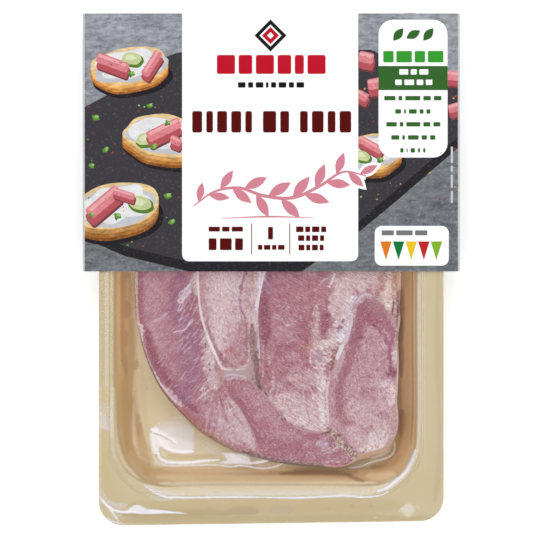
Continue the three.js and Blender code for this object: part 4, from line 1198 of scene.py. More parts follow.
RIM_STROKES = [
    (rgb(204, 162, 154), 2.4, 0.9, [(397.6, 352), (397.4, 380), (395.6, 400), (396.6, 420), (395, 434)]),
    (rgb(196, 160, 132), 3.8, 1.0, [(358, 456), (370, 454.6), (380, 451.6), (388, 446), (393, 439)]),
    (rgb(166, 118, 104), 2.4, 0.95, [(398, 334), (397.4, 340), (397.4, 347), (398, 351)]),
    (rgb(190, 170, 152), 1.6, 0.8, [(135, 262), (135.3, 282)]),
    (tan, 1.6, 0.7, [(135, 285), (135.6, 305), (137, 320)]),
    (fat, 2.2, 0.95, [(136, 322), (138, 326)]),
    (brown, 0.8, 0.6, [(134.6, 290), (135.4, 318)]),
    (fat, 0.8, 0.8, [(141.5, 335), (145, 347), (150, 360), (157.6, 376), (168.6, 393), (179.6, 406.8)]),
    (brown, 0.9, 0.85, [(139.5, 337), (143, 350), (148, 363), (156.4, 380), (168.4, 398.6)]),
    (rgb(140, 78, 54), 2.6, 0.95, [(158, 386), (169, 400.6), (178, 410.6), (188, 420.8), (196, 428)]),
    (rgb(150, 98, 70), 3.0, 0.95, [(194, 426.4), (208, 436.8), (219, 443.6), (228, 448), (242, 453.4)]),
    (rgb(98, 58, 44), 2.6, 0.95, [(242, 451.8), (249, 454.4), (256, 456.6), (264, 459)]),
    (rgb(116, 74, 64), 2.4, 0.9, [(258, 457.4), (270, 460.4), (285, 462.4), (300, 464.4)]),
    (rgb(150, 102, 98), 2.0, 0.9, [(296, 463.6), (310, 464.8), (324, 466)]),
    (rgb(86, 60, 50), 0.8, 0.8, [(260, 459), (270, 461.6), (300, 465.4), (322, 467)]),
    (rgb(184, 130, 122), 1.8, 0.9, [(322, 466.4), (338, 467.6), (350, 465)]),
    (rgb(190, 150, 116), 3.0, 1.0, [(350, 464), (360, 459.6), (372, 456.6), (384, 452.6), (390, 447.6),
        (394, 441)]),
    (rgb(158, 122, 92), 1.2, 0.8, [(357, 461.4), (372, 457.8), (380, 455.4)]),
    (rgb(178, 128, 100), 4.0, 0.9, [(395.6, 262), (396, 280), (395, 296)]),
    (rgb(196, 162, 128), 3.6, 0.95, [(399.6, 262), (399.8, 287)]),
    (rgb(142, 84, 66), 3.0, 1.0, [(399.4, 289), (399.2, 303)]),
    (rgb(104, 46, 32), 3.0, 1.0, [(399.2, 302), (399, 317)]),
    (rgb(206, 158, 146), 1.4, 0.9, [(395.4, 302), (395.4, 316)]),
    (rgb(198, 164, 142), 1.4, 0.95, [(399.6, 318), (399.8, 325), (399.4, 329)]),
    (rgb(150, 112, 94), 1.6, 0.9, [(397.6, 319), (397.6, 330)]),
    *scattered(crack, 26, (396, 402, 318, 350), 1.0, 1.4, 0.5, 0.8, 75, 1.0),
    *scattered(cream, 20, (396, 402, 318, 352), 1.0, 2, 0.6, 0.8, 76, 1.0),
    *scattered(crack, 22, (134, 138, 272, 324), 1.5, 1.4, 0.45, 0.7, 77, 0.6),
    *scattered(crack, 40, (196, 262, 425, 460), 0.9, 2.4, 0.5, 0.7, 78, 0.6),
    *scattered(cream, 40, (196, 262, 425, 460), 0.9, 2.4, 0.5, 0.6, 79, 0.6),
    *scattered(crack, 34, (258, 330, 460, 469), 0.3, 2.4, 0.5, 0.8, 80, 0.6),
    *scattered(cream, 26, (258, 330, 460, 469), 0.3, 2, 0.5, 0.7, 81, 0.6),
]


def strewn(loops):
    """Points to triangulate a cut face by: rings inside its outlines, then rows"""
    low_corner, high_corner = loops[0].min(axis=0), loops[0].max(axis=0)
    extra = []
    for depth in (0.12, 0.34, 0.7):
        for loop in loops:
            ring = loop + left_of(loop) * depth
            extra.append(ring[(edge_distance(ring, loops) > depth * 0.86) & (ring[:, 1] < SLEEVE_EDGE - 1)])
    rng = np.random.default_rng(7)
    spans = ((SPACING, low_corner[1], COVERED_FROM), (COVERED_SPACING, COVERED_FROM, high_corner[1]))
    for step, floor, ceiling in spans:
        rows = []
        lowest, highest = max(floor, low_corner[1]), min(ceiling, high_corner[1])
        for k, y in enumerate(np.arange(lowest, highest, step * ROW_PITCH)):
            x = np.arange(low_corner[0] + (k % 2) * step / 2, high_corner[0], step)
            rows.append(np.column_stack((x, np.full(len(x), y))))
        if rows:
            rows = np.vstack(rows)
            rows += rng.uniform(-0.12, 0.12, rows.shape) * step
            extra.append(rows[edge_distance(rows, loops) > max(0.85, step * 0.5)])
    return np.vstack(extra)


def cut_block(name, loops, top, round_off, material, node, low, tuck):
    """An upright block with a rounded outer rim. The first loop is its outline and the others are holes."""
    loops = [turned(resampled(loop, 0.55), number == 0) for number, loop in enumerate(loops)]
    plane, triangles, within, places = triangulated(loops, strewn(loops))
    faces = [triangle for triangle, owners in zip(triangles.tolist(), within) if owners == [0]]
    away = edge_distance(plane, loops[:1])
    drop = round_off - np.sqrt(round_off**2 - np.clip(round_off - away, 0, round_off) ** 2)
    points = [np.column_stack((plane, top(plane) - drop))]
    total = len(plane)
    bottoms = []
    bottom_places = []
    for loop, upper in zip(loops, places):
        count = len(loop)
        bottom = loop + left_of(loop) * tuck
        heights = (top(loop).min() - SIDE_DROP, SIDE_FOOT)
        points += [np.column_stack((loop, np.full(count, height))) for height in heights]
        points.append(np.column_stack((bottom, np.full(count, low))))
        rows = [upper]
        rows += [list(range(start, start + count)) for start in range(total, total + 3 * count, count)]
        for above, below in zip(rows, rows[1:]):
            faces += [[above[k - 1], below[k - 1], below[k], above[k]] for k in range(count)]
        bottoms.append(bottom)
        bottom_places += rows[3]
        total += 3 * count
    _, cover, owners, spots = triangulated(bottoms, np.zeros((0, 2)))
    back = dict(zip([k for spot in spots for k in spot], bottom_places))
    for triangle, owner in zip(cover.tolist(), owners):
        if owner == [0] and all(k in back for k in triangle):
            faces.append([back[k] for k in reversed(triangle)])
    points = np.vstack(points)
    used = sorted({k for face in faces for k in face})
    number = {k: i for i, k in enumerate(used)}
    faces = [[number[k] for k in face] for face in faces]
    piece = make(name, points[used], faces, [material], [node])
    return piece, points[used]


def slice_pieces():
    """Makes the five cut tongues and the jelly web that joins them"""
    outlines = {name: smooth(at(points)) for name, points in TONGUES.items()}

    def cut_face(plane):
        """A nearly flat top with broad swells and fine unevenness"""
        x, y = plane.T
        return SLICE_TOP - 0.13 + 0.06 * ripple(x, y, 14, 3) + 0.03 * ripple(x, y, 2.4, 5)

    for name, outline in outlines.items():
        base, strokes, fibres = SLICE_LOOKS[name]
        made = meat_material(name + "_meat", **fibres)
        piece, points = cut_block(name, [outline], cut_face, 0.06, made, name, SLICE_LOW, 1.3)
        flat = points[:, :2]
        tone = np.tile(base, (len(flat), 1))
        patch = ripple(*flat.T, PATCH_SIZE, 11)[:, None] * PATCH_STRENGTH
        tone = tone + np.where(patch > 0, patch * (pale - tone), -patch * (dark - tone))
        tone = painted(flat, tone, [*strokes, *FIBRES[name]], seed=len(name))
        set_colour(piece, "tone", tone * SLICE_DIM)
    web = smooth(at(SLICE))
    loops = [web, *outlines.values()]
    made = jelly_material()
    piece, points = cut_block("aspic_web", loops, cut_face, 0.45, made, "aspic", SLICE_LOWEST, 0)
    flat = points[:, :2]
    tone = painted(flat, np.tile(rgb(186, 146, 152), (len(flat), 1)), JELLY_STROKES, seed=60)
    tone = painted(flat, tone, RIM_STROKES, seed=90, wobble=0.5)
    side = rgb(176, 126, 122) * (1 + 0.12 * ripple(*flat.T, 5, 8)[:, None])
    tone = between(tone, side, ramp(SLICE_TOP - points[:, 2:], 0.6, 1.0))
    set_colour(piece, "tone", tone * SLICE_DIM)
    set_value(piece, "grain", 0.2 + 0.6 * (1 - ramp(edge_distance(flat, [web]), 0.3, 1.6)))


# Film

# Creases: half width, height and line
CREASES = [
    (1.2, 0.5, [(150, 432), (160, 437), (173, 443)]),
    (1.6, 0.35, [(97.5, 495), (110, 507), (120, 508), (134, 505), (160, 509), (185, 513)]),
    (1.2, 0.3, [(97.5, 495), (107, 508), (118, 522)]),
]

# Painted sheens, white put on the film where it stands off or bends over an edge: how white, half width,
# strength and line
HAZE = [
    (1, 2.4, 0.85, [(151, 429.4), (157, 430.8), (163, 434), (169, 437.8), (176, 442.6)]),
    (1, 4.0, 0.8, [(152.6, 429), (157, 430.4)]),
    (1, 2.6, 0.5, [(159, 439), (164.6, 442.6), (170, 445.4)]),
    (1, 2.0, 0.85, [(158.4, 436.6), (160.4, 442), (164, 446.6), (170, 449.8), (178, 451.6), (186, 452),
        (194, 451.6)]),
    (1, 3.4, 0.85, [(151.8, 432), (153, 440), (154.4, 447), (155.2, 453)]),
    (1, 3.0, 0.55, [(154, 433), (157.6, 440), (159.6, 446)]),
    (1, 2.6, 0.25, [(158.6, 446), (161, 452), (166, 456)]),
    (0, 0.9, 0.6, [(150.4, 432), (156, 434), (161, 435.6), (166, 438), (171, 440.8), (175.4, 443.6)]),
    (1, 1.8, 0.95, [(157.4, 448), (158.4, 454), (160.2, 458.4), (166, 461.4), (176, 462.4), (190, 462.4),
        (204, 460.8), (219.5, 459.8)]),
    (1, 1.1, 0.55, [(152.6, 448), (154.2, 457.6), (158.4, 462.8), (166, 465.3), (182, 465.8),
        (198, 465.2), (212, 464.8), (226, 466)]),
    (1, 1.8, 0.16, [(157, 460), (168, 463.6), (190, 464), (212, 463)]),
    (1, 1.0, 0.6, [(202, 446), (204, 446)]),
    (1, 2.6, 0.2, [(207, 446), (213, 447)]),
    (1, 2.2, 0.22, [(211, 450.6), (216, 452.4)]),
    (1, 3.0, 0.5, [(229, 456.8), (241, 459)]),
    (1, 2.2, 0.7, [(220, 462.6), (231, 461.4), (240, 460)]),
    (1, 2.6, 0.5, [(236, 460.8), (247, 462.8)]),
    (1, 0.9, 0.8, [(244.4, 463), (245.6, 463)]),
    (1, 0.8, 0.7, [(243.6, 457.2), (244.6, 457.2)]),
    (0, 0.9, 0.5, [(235.6, 453.8), (236.8, 453.8)]),
    (0, 0.9, 0.4, [(246, 459.8), (247.4, 460)]),
    (1, 1.6, 0.95, [(246.6, 463.8), (256, 462.7), (268, 461)]),
    (1, 1.2, 0.8, [(222, 465.6), (230, 466.9), (238, 465.6), (247, 466.2), (257, 468), (267, 468.2),
        (276, 466.3), (282, 464)]),
    (1, 1.6, 0.9, [(97.5, 494.5), (103, 501), (108, 506), (115, 510.5), (123, 512), (136, 511.6)]),
    (1, 1.4, 0.5, [(150, 511), (160, 511.4), (172, 511.8)]),
    (1, 1.1, 0.5, [(166, 511.8), (186, 513.6)]),
    (1, 1.4, 0.75, [(108, 506), (113, 513), (118.5, 520.5)]),
    (1, 1.6, 0.5, [(104, 517), (113, 521.5), (125, 524)]),
    (1, 1.2, 0.35, [(109.6, 418), (109.8, 426), (109.4, 432)]),
    (1, 3.4, 0.12, [(160, 491), (200, 492), (270, 492), (330, 491), (372, 490)]),
    (1, 2.6, 0.4, [(148, 488), (158, 492), (172, 494.6), (186, 495.6)]),
    (1, 1.8, 0.3, [(149, 495), (158, 498.6), (172, 499.2)]),
    (1, 2.4, 0.28, [(205, 494), (250, 494), (300, 493.6), (350, 493.4), (378, 492)]),
    (1, 1.3, 0.85, [(145, 486), (155, 493), (165, 496.8), (180, 497.6), (212, 497.2), (245, 497),
        (270, 497.4)]),
    (1, 1.3, 0.85, [(266, 497.4), (300, 497.8), (325, 496.6), (345, 495.8), (365, 497), (380, 495.4),
        (389, 491)]),
    (1, 2.4, 0.85, [(377, 491.5), (387, 488), (396, 481), (405, 472.5), (411, 462), (416, 449)]),
    (1, 1.4, 0.3, [(416.6, 452), (419, 432), (419.6, 400), (419.6, 340), (419.6, 262)]),
    (1, 1.4, 0.3, [(111, 398), (111.5, 420), (113.5, 440), (117, 458)]),
    (1, 1.4, 0.3, [(399.6, 510.2), (403, 509)]),
    (1, 1.0, 0.5, [(349, 468), (361, 466.5), (373, 461.5), (385, 458.5), (392, 455), (395, 449),
        (394, 442)]),
    (1, 1.3, 0.3, [(372, 458), (384, 454.5), (391, 449)]),
    (1, 0.8, 0.5, [(374, 517.6), (377, 517.4)]),
]
# Broad painted sheens: how white, how soft at the edge, and the outline
VEILS = [
    (0.22, 2.4, [(398, 512), (401, 507), (407, 503.6), (412, 504.4), (414.6, 508.6), (414, 512.6),
        (404, 512.6)]),
    (0.4, 3, [(98, 411), (102, 412), (107.6, 420), (109.8, 431), (104, 430), (98, 427.6)]),
    (0.22, 6, [(98, 400), (108, 404), (109.6, 420), (102, 414), (98, 412)]),
    (0.32, 3, [(97.6, 486), (103, 490), (108, 499.6), (118, 502.6), (129, 503), (125, 508.4), (113, 508),
        (104, 500)]),
    (0.8, 1.6, [(126, 511), (132, 506), (138, 504.4), (147, 508.6), (158, 509.6), (173, 511.4),
        (184, 513.4),
                (168, 513.4), (150, 514.2), (136, 514)]),
    (0.24, 4, [(155, 423), (166, 418), (180, 414.5), (190, 424), (194.5, 428), (194, 452), (180, 452),
        (168, 450), (160, 442), (155, 430)]),
    (0.26, 5, [(155, 427), (166, 423), (180, 420), (190, 426.5), (194.2, 430), (194, 452.5),
        (180, 452.5), (168, 450), (160, 443)]),
    (0.22, 6, [(155, 431), (168, 428), (182, 426), (190, 430), (194, 433), (193.6, 452.5), (180, 452.5),
        (168, 450), (160, 443)]),
    (0.35, 5, [(160, 437), (175, 437), (193.5, 443), (193.5, 452.5), (180, 452.5), (168, 450), (162, 445)]),
    (0.14, 6, [(194, 436), (206, 440), (222, 449), (222, 456), (196, 454)]),
    (0.5, 3, [(221, 452.6), (232, 453), (237, 457), (236, 462), (225, 463), (227.6, 459.6), (224.6, 456)]),
    (0.8, 3.5, [(222.6, 453), (232, 452.6), (244, 454.6), (250, 458), (250, 463.6), (238, 464),
        (224, 463.6), (227, 459.8), (224.6, 457)]),
    (0.2, 5, [(246, 454), (256, 458), (264, 460.6), (250, 463)]),
    (0.4, 4, [(154, 432), (161, 438), (161, 447), (155.6, 449)]),
]


def inside(points, outline):
    """Which points a closed outline holds"""
    crossings = np.zeros(len(points), int)
    for (u, v), (s, t) in zip(outline, np.roll(outline, -1, axis=0)):
        spans = (points[:, 1] > v) != (points[:, 1] > t)
        crossings += spans & (points[:, 0] < u + (points[:, 1] - v) / (t - v + 1e-9) * (s - u))
    return crossings % 2 == 1


def veiled(points, haze):
    """The painted sheen values with the broad painted sheens laid over them"""
    for white_share, soft, outline in VEILS:
        loop = resampled(at(outline), 1.0)
        chosen = near(points, loop, soft * GRID)
        spot = points[chosen]
        away = distance(spot, np.vstack((loop, loop[:1])))[0] * np.where(inside(spot, loop), 1, -1)
        share = white_share * ramp(away, -soft * GRID / 2, soft * GRID / 2)
        haze[chosen] += share * (1 - haze[chosen])
    return haze


FILM_TOP = SLICE_TOP + 0.25
FILM_STEP = 0.5
FILM_GAP = 0.22
FILM_LOW_OPEN = FLOOR + 0.3
FILM_LOW_CLOSED = 6.8
LEAVES_TRAY = 9.8
OPEN_FROM, OPEN_TO = 5, 14
SOFTENING = 31
CAP_EDGE = 2.2


def film_profile(sheet):
    """Rings from the flange's edge down the wall, over the gap where there is one, and up on to the slice"""
    wall_top, wall_foot = wall(WALL_TOP[0]), wall(WALL_FOOT[0])
    slice_reach = reach(smooth(at(SLICE)))
    middle = (wall_top + wall_foot) / 2
    openness = ramp(middle - slice_reach, OPEN_FROM, OPEN_TO)
    kernel = np.hanning(SOFTENING)
    kernel /= kernel.sum()
    half = SOFTENING // 2
    openness = np.convolve(np.concatenate((openness[-half:], openness, openness[:half])), kernel, "valid")
    low = between(FILM_LOW_CLOSED, FILM_LOW_OPEN, openness)
    slope = (wall_top - wall_foot) / (WALL_TOP[1] - WALL_FOOT[1])

    def wall_at(z):
        return wall_foot + slope * (z - WALL_FOOT[1]) - 0.5

    outer = offset(sheet, FILM_GAP)
    outer[..., 0] = np.minimum(outer[..., 0], trim[:, None] - 0.04)
    outer = outer[:, : np.argmax(outer[0, :, 1] < LEAVES_TRAY)]
    rest = np.maximum(low + 2.4, 4.0)
    edge_reach = wall_at(np.maximum(low, WALL_FOOT[1]))
    across = edge_reach - slice_reach
    rings = [(wall_at(LEAVES_TRAY - 0.2), LEAVES_TRAY - 0.2), (wall_at(rest), rest)]
    rings += [(slice_reach + across * between(0.75, 0.86, openness), low + between(0.5, 0.9, openness))]
    rings += [(slice_reach + np.minimum(across * 0.42, 4), low + 0.1)]
    rings += [(slice_reach + 0.55, low + 2.2), (slice_reach + 0.4, SLICE_TOP - 1.2)]
    rings += [(slice_reach + 0.2, SLICE_TOP - 0.2), (slice_reach - 0.8, SLICE_TOP + 0.22)]
    flat_reach = slice_reach - CAP_EDGE
    rings += [(flat_reach, FILM_TOP)]
    inner = chamfered(chamfered(profile(rings)))
    cap = profile([(flat_reach * share, FILM_TOP) for share in np.linspace(0.98, 0.02, 9)])
    return np.concatenate((dense(np.concatenate((outer, inner), axis=1), FILM_STEP), cap), axis=1)


def film(sheet):
    """Makes the film with its bubbles, creases and painted white sheens"""
    lines = film_profile(sheet)
    points = np.vstack((ring_points(lines), [[*CENTRE, FILM_TOP]]))
    flat = points[:, :2]
    x, y = flat[:, 0], flat[:, 1]
    shown = ramp(-y, -4, 0)
    for _, width, _, height, line in BUBBLES:
        chosen = near(flat, at(line), width)
        away = distance(flat[chosen], at(line))[0]
        points[chosen, 2] += height * (1 - ramp(away, width * GRID * 0.6, width * GRID))
    for width, height, line in CREASES:
        route = smooth(at(line), 0.5, closed=False)
        chosen = near(flat, route, width * 2)
        away = distance(flat[chosen], route)[0]
        points[chosen, 2] += height * np.exp(-((away / (width * GRID)) ** 2))
    small, large = np.abs(ripple(x, y, 3.2, 21)), np.abs(ripple(x, y, 11, 22))
    points[:, 2] += shown * 0.012 * small + shown * 0.03 * large
    piece = make("skin_film", points, ring_faces(lines.shape[1]), [film_material()], ["film"])
    shown_at = seen(points)
    # Painted sheens: white mixed into the film's shader, less where the film stands upright
    haze = veiled(shown_at, np.zeros(len(points)))
    haze = painted(shown_at, haze[:, None], HAZE, wobble=0.08, seed=200, soft=(0.15, 1.55))[:, 0]
    rise = np.abs(np.gradient(lines[..., 1], axis=1))
    upright = rise / (rise + np.abs(np.gradient(lines[..., 0], axis=1)) + 1e-9)
    set_value(piece, "haze", haze * np.append(1 - ramp(upright, 0.8, 0.93).T.ravel(), 1))


# Sleeve

CARD = 0.5
SLEEVE_LOW, SLEEVE_HIGH = -1.0, 111.0
SLEEVE_TOP = 20.3
SLEEVE_CORNERS = [(63.5, 0), (83.13, SLEEVE_TOP), (-83.13, SLEEVE_TOP), (-63.5, 0)]
SLEEVE_RADIUS = 0.9
SLEEVE_ROWS = 24
ARC = 9
FRONT = 2 * ARC - 1
INK_SHARE = 0.82


def ink(red_part, green_part, blue_part):
    """A printed colour, a little darker than it shows because the lights are strong"""
    return rgb(red_part, green_part, blue_part) * INK_SHARE


# Printed colours of stone, slab, toast, spread, tongue, herbs and lettering blocks
slate = ink(128, 131, 136)
board = ink(64, 61, 66)
board_edge = ink(40, 38, 42)
shadow = ink(38, 34, 38)
paper = rgb(252, 252, 251)
card = rgb(238, 236, 230)
crust_dark = ink(150, 88, 34)
crust = ink(186, 124, 56)
crust_light = ink(214, 158, 88)
crumb = ink(232, 202, 148)
spread = ink(232, 231, 232)
spread_shade = ink(198, 199, 204)
rose = ink(222, 132, 140)
rose_light = ink(238, 170, 172)
rose_shade = ink(184, 84, 92)
rose_deep = ink(120, 62, 66)
pickle = ink(198, 208, 150)
pickle_light = ink(222, 228, 186)
peel = ink(88, 124, 36)
herb = ink(96, 148, 62)
herb_light = ink(152, 192, 104)
herb_dark = ink(54, 98, 40)
pepper = ink(150, 66, 52)
red_ink = ink(206, 20, 46)
maroon_ink = ink(95, 12, 10)
pink_ink = ink(226, 142, 158)
black_ink = ink(26, 25, 24)
green_ink = ink(58, 110, 48)
leaf_ink = ink(60, 168, 54)


def plate(left, right, top, bottom, radius=0.0):
    """A rounded rectangle on the drawing grid"""
    corners = [(left, bottom), (right, bottom), (right, top), (left, top)]
    if not radius:
        return at(corners)
    return rounded(at(corners), radius * GRID, steps=6)


def placed(x, y, centre, turn):
    """Points turned about the origin and moved to a centre on the drawing grid"""
    cos, sin = math.cos(turn), math.sin(turn)
    return at(np.column_stack((centre[0] + x * cos - y * sin, centre[1] + x * sin + y * cos)))


def blob(centre, wide, high, turn=0.0, seed=0, rough=0.06, count=48):
    """A wavy oval on the drawing grid"""
    rng = np.random.default_rng(seed)
    angle = np.linspace(0, 2 * math.pi, count, endpoint=False)
    waves = [rng.uniform(-1, 1) * np.sin(k * angle + rng.uniform(0, 6.3)) for k in (2, 3, 4, 5, 7)]
    size = 1 + rough * sum(waves)
    return placed(wide * size * np.cos(angle), high * size * np.sin(angle), centre, turn)


def baton(centre, long, thick, turn):
    """A rounded bar on the drawing grid"""
    x = np.array([-1, 1, 1, -1]) * long / 2
    y = np.array([-1, -1, 1, 1]) * thick / 2
    return rounded(turned(placed(x, y, centre, turn), True), min(thick, long) * 0.22 * GRID, steps=4)


def leaf(centre, long, turn, fat_share=0.3):
    """A pointed leaf on the drawing grid"""
    share = np.linspace(0, 1, 9)
    bulge = np.sin(share * math.pi) * fat_share * long
    x = np.concatenate((share, share[-2:0:-1])) * long - long / 2
    y = np.concatenate((bulge, -bulge[-2:0:-1]))
    return placed(x, y, centre, turn)


def crumbs(left, right, top, bottom, count, seed, colours, size=1.0):
    """Small specks strewn in a box of the drawing grid"""
    rng = np.random.default_rng(seed)
    made = []
    for _ in range(count):
        centre = (rng.uniform(left, right), rng.uniform(top, bottom))
        wide = rng.uniform(0.5, 1.3) * size
        crumb_outline = blob(centre, wide, wide * 0.8, 0, int(rng.integers(99)), 0.1, 8)
        made.append((crumb_outline, colours[rng.integers(len(colours))], 0.2))
    return made


def bar(spot, long, thick, turn, seed):
    """A cut piece of tongue: side, top, a light edge and a few specks of pepper"""
    u, v = spot
    across, down = long * 0.3, thick * 0.3
    return [
        (baton((u + 1.4, v + thick * 0.62), long, thick, turn), rose_deep, 0.4),
        (baton((u + 0.4, v + thick * 0.45), long, thick, turn), rose_shade, 0.4),
        (baton(spot, long, thick * 0.86, turn), rose, 0.6),
        (baton((u - 0.4, v - thick * 0.2), long * 0.88, thick * 0.26, turn), rose_light, 0.4),
        *crumbs(u - across, u + across, v - down, v + down, 4, seed, [pepper, rose_light], 0.6),
    ]


def sprout(spot, size, turn):
    """Three leaves of herb"""
    u, v = spot
    return [
        (leaf((u - 1, v + 1), size * 0.8, turn + 1.2), herb_dark, 0.3),
        (leaf(spot, size, turn), herb, 0.3),
        (leaf((u + 1, v - 1), size * 0.6, turn - 0.7), herb_light, 0.3),
    ]


def canape(centre, wide, high, turn, seed, parts):
    """A slice of toast seen at a slant, with spread and toppings. The parts are offsets from its centre."""
    u, v = centre
    thick = high * 0.5
    fields = [(blob((u + 3, v + thick + 4), wide * 1.04, high, turn, seed, 0.03), shadow, 0.2)]
    for share, colour in ((1.0, crust_dark), (0.74, crust), (0.4, crust_light)):
        fields.append((blob((u, v + thick * share), wide, high, turn, seed, 0.035), colour, 1.0))
    fields.append((blob(centre, wide, high, turn, seed, 0.035), crumb, 0.8))
    fields.append((blob((u + 1, v + 0.8), wide * 0.9, high * 0.87, turn, seed + 1, 0.06), spread_shade, 0.5))
    fields.append((blob((u - 0.5, v - 1.4), wide * 0.84, high * 0.76, turn, seed + 2, 0.08), spread, 0.5))
    across, down = wide * 0.62, high * 0.5
    specks = [spread_shade, herb_light, pepper, paper]
    fields += crumbs(u - across, u + across, v - down, v + down, 22, seed, specks, 0.7)
    for number, (kind, du, dv, size, angle) in enumerate(parts):
        spot = (u + du, v + dv)
        if kind == "bar":
            fields += bar(spot, size, size * 0.36, angle, seed + number)
        elif kind == "cube":
            fields += bar(spot, size, size * 0.9, angle, seed + number)
        elif kind == "pickle":
            below, above = (spot[0] + 1.2, spot[1] + 2), (spot[0] - 1, spot[1] - 1)
            fields.append((blob(below, size, size * 0.66, angle, seed + 3, 0.03), peel, 0.4))
            fields.append((blob(spot, size * 0.9, size * 0.55, angle, seed + 3, 0.03), pickle, 0.5))
            fields.append((blob(above, size * 0.5, size * 0.26, angle, seed + 4, 0.06), pickle_light, 0.5))
        else:
            fields += sprout(spot, size, angle)
    return fields


def band(line, widths):
    """A ribbon along a smooth line on the drawing grid, as wide as the given half widths"""
    route = smooth(np.asarray(line, float), 1.5, closed=False)
    half = np.interp(np.linspace(0, 1, len(route)), np.linspace(0, 1, len(widths)), widths)
    ahead = np.gradient(route, axis=0)
    side = np.column_stack((-ahead[:, 1], ahead[:, 0])) / np.linalg.norm(ahead, axis=1)[:, None]
    side = side * half[:, None]
    return at(np.vstack((route + side, (route - side)[::-1])))


def sprig(line, leaves, long, grow, colour):
    """A stem with leaves to both sides, all drawn larger by grow"""
    route = smooth(np.asarray(line, float), 1.0, closed=False)
    made = [(band(line, [0.6 + grow, 1.5 + grow, 1.7 + grow, 1.5 + grow, 0.6 + grow]), colour, 0)]
    for k in range(leaves):
        place = int((k + 0.5) / leaves * (len(route) - 1))
        ahead = route[min(place + 3, len(route) - 1)] - route[max(place - 3, 0)]
        angle = math.atan2(ahead[1], ahead[0]) + (0.72 if k % 2 else -0.72)
        size = long * (0.7 + 0.3 * math.sin(math.pi * (k + 0.5) / leaves))
        centre = route[place] + np.array((math.cos(angle), math.sin(angle))) * size * 0.52
        made.append((leaf(centre, size + grow * 2.4, angle, 0.19 + grow * 0.01), colour, 0))
    return made


def blocks(left, right, top, bottom, shares, colour, gap=1.6, radius=1.0):
    """A row of plain rounded blocks whose widths follow the shares"""
    room = right - left - gap * (len(shares) - 1)
    made = []
    start = left
    for share in shares:
        width = room * share / sum(shares)
        made.append((plate(start, start + width, top, bottom, radius), colour, 0))
        start += width + gap
    return made


SLAB = [
    (50, 126), (112, 93), (148, 64), (178, 53), (370, 50), (480, 96), (480, 118), (444, 149),
    (400, 187), (358, 222), (300, 262), (190, 262), (124, 246), (50, 214),
]
# Toasts: centre, width, height, turn, seed and toppings. A topping is a kind, an offset, a size and a turn.
TOASTS = [
    ((130, 66), 40, 18, -0.12, 3, [
        ("pickle", 2, -7, 11, 0.1), ("bar", -17, -3, 33, 0.35), ("bar", 22, -2, 28, -1.0),
        ("leaf", 2, 8, 8, 0.4),
    ]),
    ((166, 136), 42, 21, 0.12, 8, [
        ("pickle", -20, 3, 11, -0.3), ("bar", -2, -6, 36, -0.45), ("cube", 10, 5, 11, 0.4),
        ("leaf", -12, 11, 9, -0.5), ("leaf", 2, -13, 7, 0.9),
    ]),
    ((116, 206), 44, 23, -0.16, 14, [
        ("pickle", 24, -3, 13, 0.2), ("bar", -12, -4, 40, -0.7), ("bar", 8, -12, 22, 0.3),
        ("leaf", 2, 10, 9, 0.5), ("leaf", -24, 9, 7, -0.4),
    ]),
]
HALF_HIDDEN_TOAST = (
    (372, 152), 30, 18, -0.2, 29, [("bar", -2, -7, 26, 0.5), ("pickle", -10, 4, 9, 0.3),
        ("leaf", 8, 8, 8, 0.4)]
)
# Herbs and cubes on the slab: place, size and turn
HERBS = [
    ((96, 118), 9, 0.5), ((106, 150), 8, -0.6), ((92, 166), 7, 0.9),
    ((168, 196), 9, 0.2), ((172, 222), 8, -0.3), ((150, 106), 7, 0.1),
]
CUBES = [
    ((366, 58), 15, 0.2), ((375, 84), 15, -0.2), ((362, 96), 12, 0.5),
    ((452, 76), 13, 0.1), ((454, 108), 12, -0.3),
]
STEM = [(194, 206), (214, 192), (238, 188), (264, 196), (292, 198), (320, 186), (344, 172), (366, 176)]
LOZENGE_CENTRE = (270.5, 36)
# Rows of plain blocks: left, right, top, bottom, shares of the width, colour, gap and corner radius
LABEL_BLOCKS = [
    (217, 325.5, 55.4, 74.4, [4, 3, 4, 3, 2, 4], red_ink, 3.6, 2),
    (238, 304, 82.6, 88, [3, 2, 3, 1, 2, 3, 2, 3], black_ink, 2.6, 1),
    (192.4, 252, 111.4, 132.8, [3, 2, 3, 3, 2], maroon_ink, 4.2, 2),
    (263, 289, 111.4, 132.8, [3, 2], maroon_ink, 4.2, 2),
    (300, 351, 111.4, 132.8, [2, 3, 2, 3], maroon_ink, 4.2, 2),
    (208.8, 243, 226.8, 231.6, [3, 2, 3], maroon_ink, 2.2, 0.8),
    (208.8, 243, 238.4, 250.2, [2, 3, 2], maroon_ink, 3.4, 1.2),
]
DIVIDERS = (251.2, 289.2)
RIGHT_ROWS = ((226.6, 296, 326), (235.4, 298, 324), (244.8, 298.5, 323.5))
PANEL = (378.3, 447.2)
PANEL_ROWS = ((98.5, 384, 441), (111.8, 395, 430), (124.6, 386, 440), (137.7, 391, 435), (150.6, 400, 425))
PANEL_LEAVES = ((398, -0.9), (413, -0.5), (428, -0.9))
PENNANT_INKS = [ink(240, 130, 30), ink(20, 130, 64), ink(250, 212, 40), ink(206, 40, 44), ink(140, 192, 50)]
EDGE_MARKS = ((147, 16), (166, 6), (175, 13), (191, 12))


def picture():
    """Toasts, herbs and cubes on a dark slab over grey stone"""
    fields = [(plate(70, 480, 0, 290), slate, 1)]
    fields.append((at([(u + 1, v + 10) for u, v in SLAB]), board_edge, 0.25))
    fields.append((at(SLAB), board, 0.25))
    fields += crumbs(88, 180, 60, 250, 60, 5, [pepper, crust_light, herb_light, herb])
    fields += crumbs(360, 456, 60, 200, 30, 6, [pepper, crust_light, herb_light])
    for toast in TOASTS:
        fields += canape(*toast)
    for spot, size, angle in HERBS:
        fields += sprout(spot, size, angle)
    for number, (spot, size, angle) in enumerate(CUBES):
        fields += bar(spot, size, size * 0.85, angle, 60 + number)
    return fields + canape(*HALF_HIDDEN_TOAST)


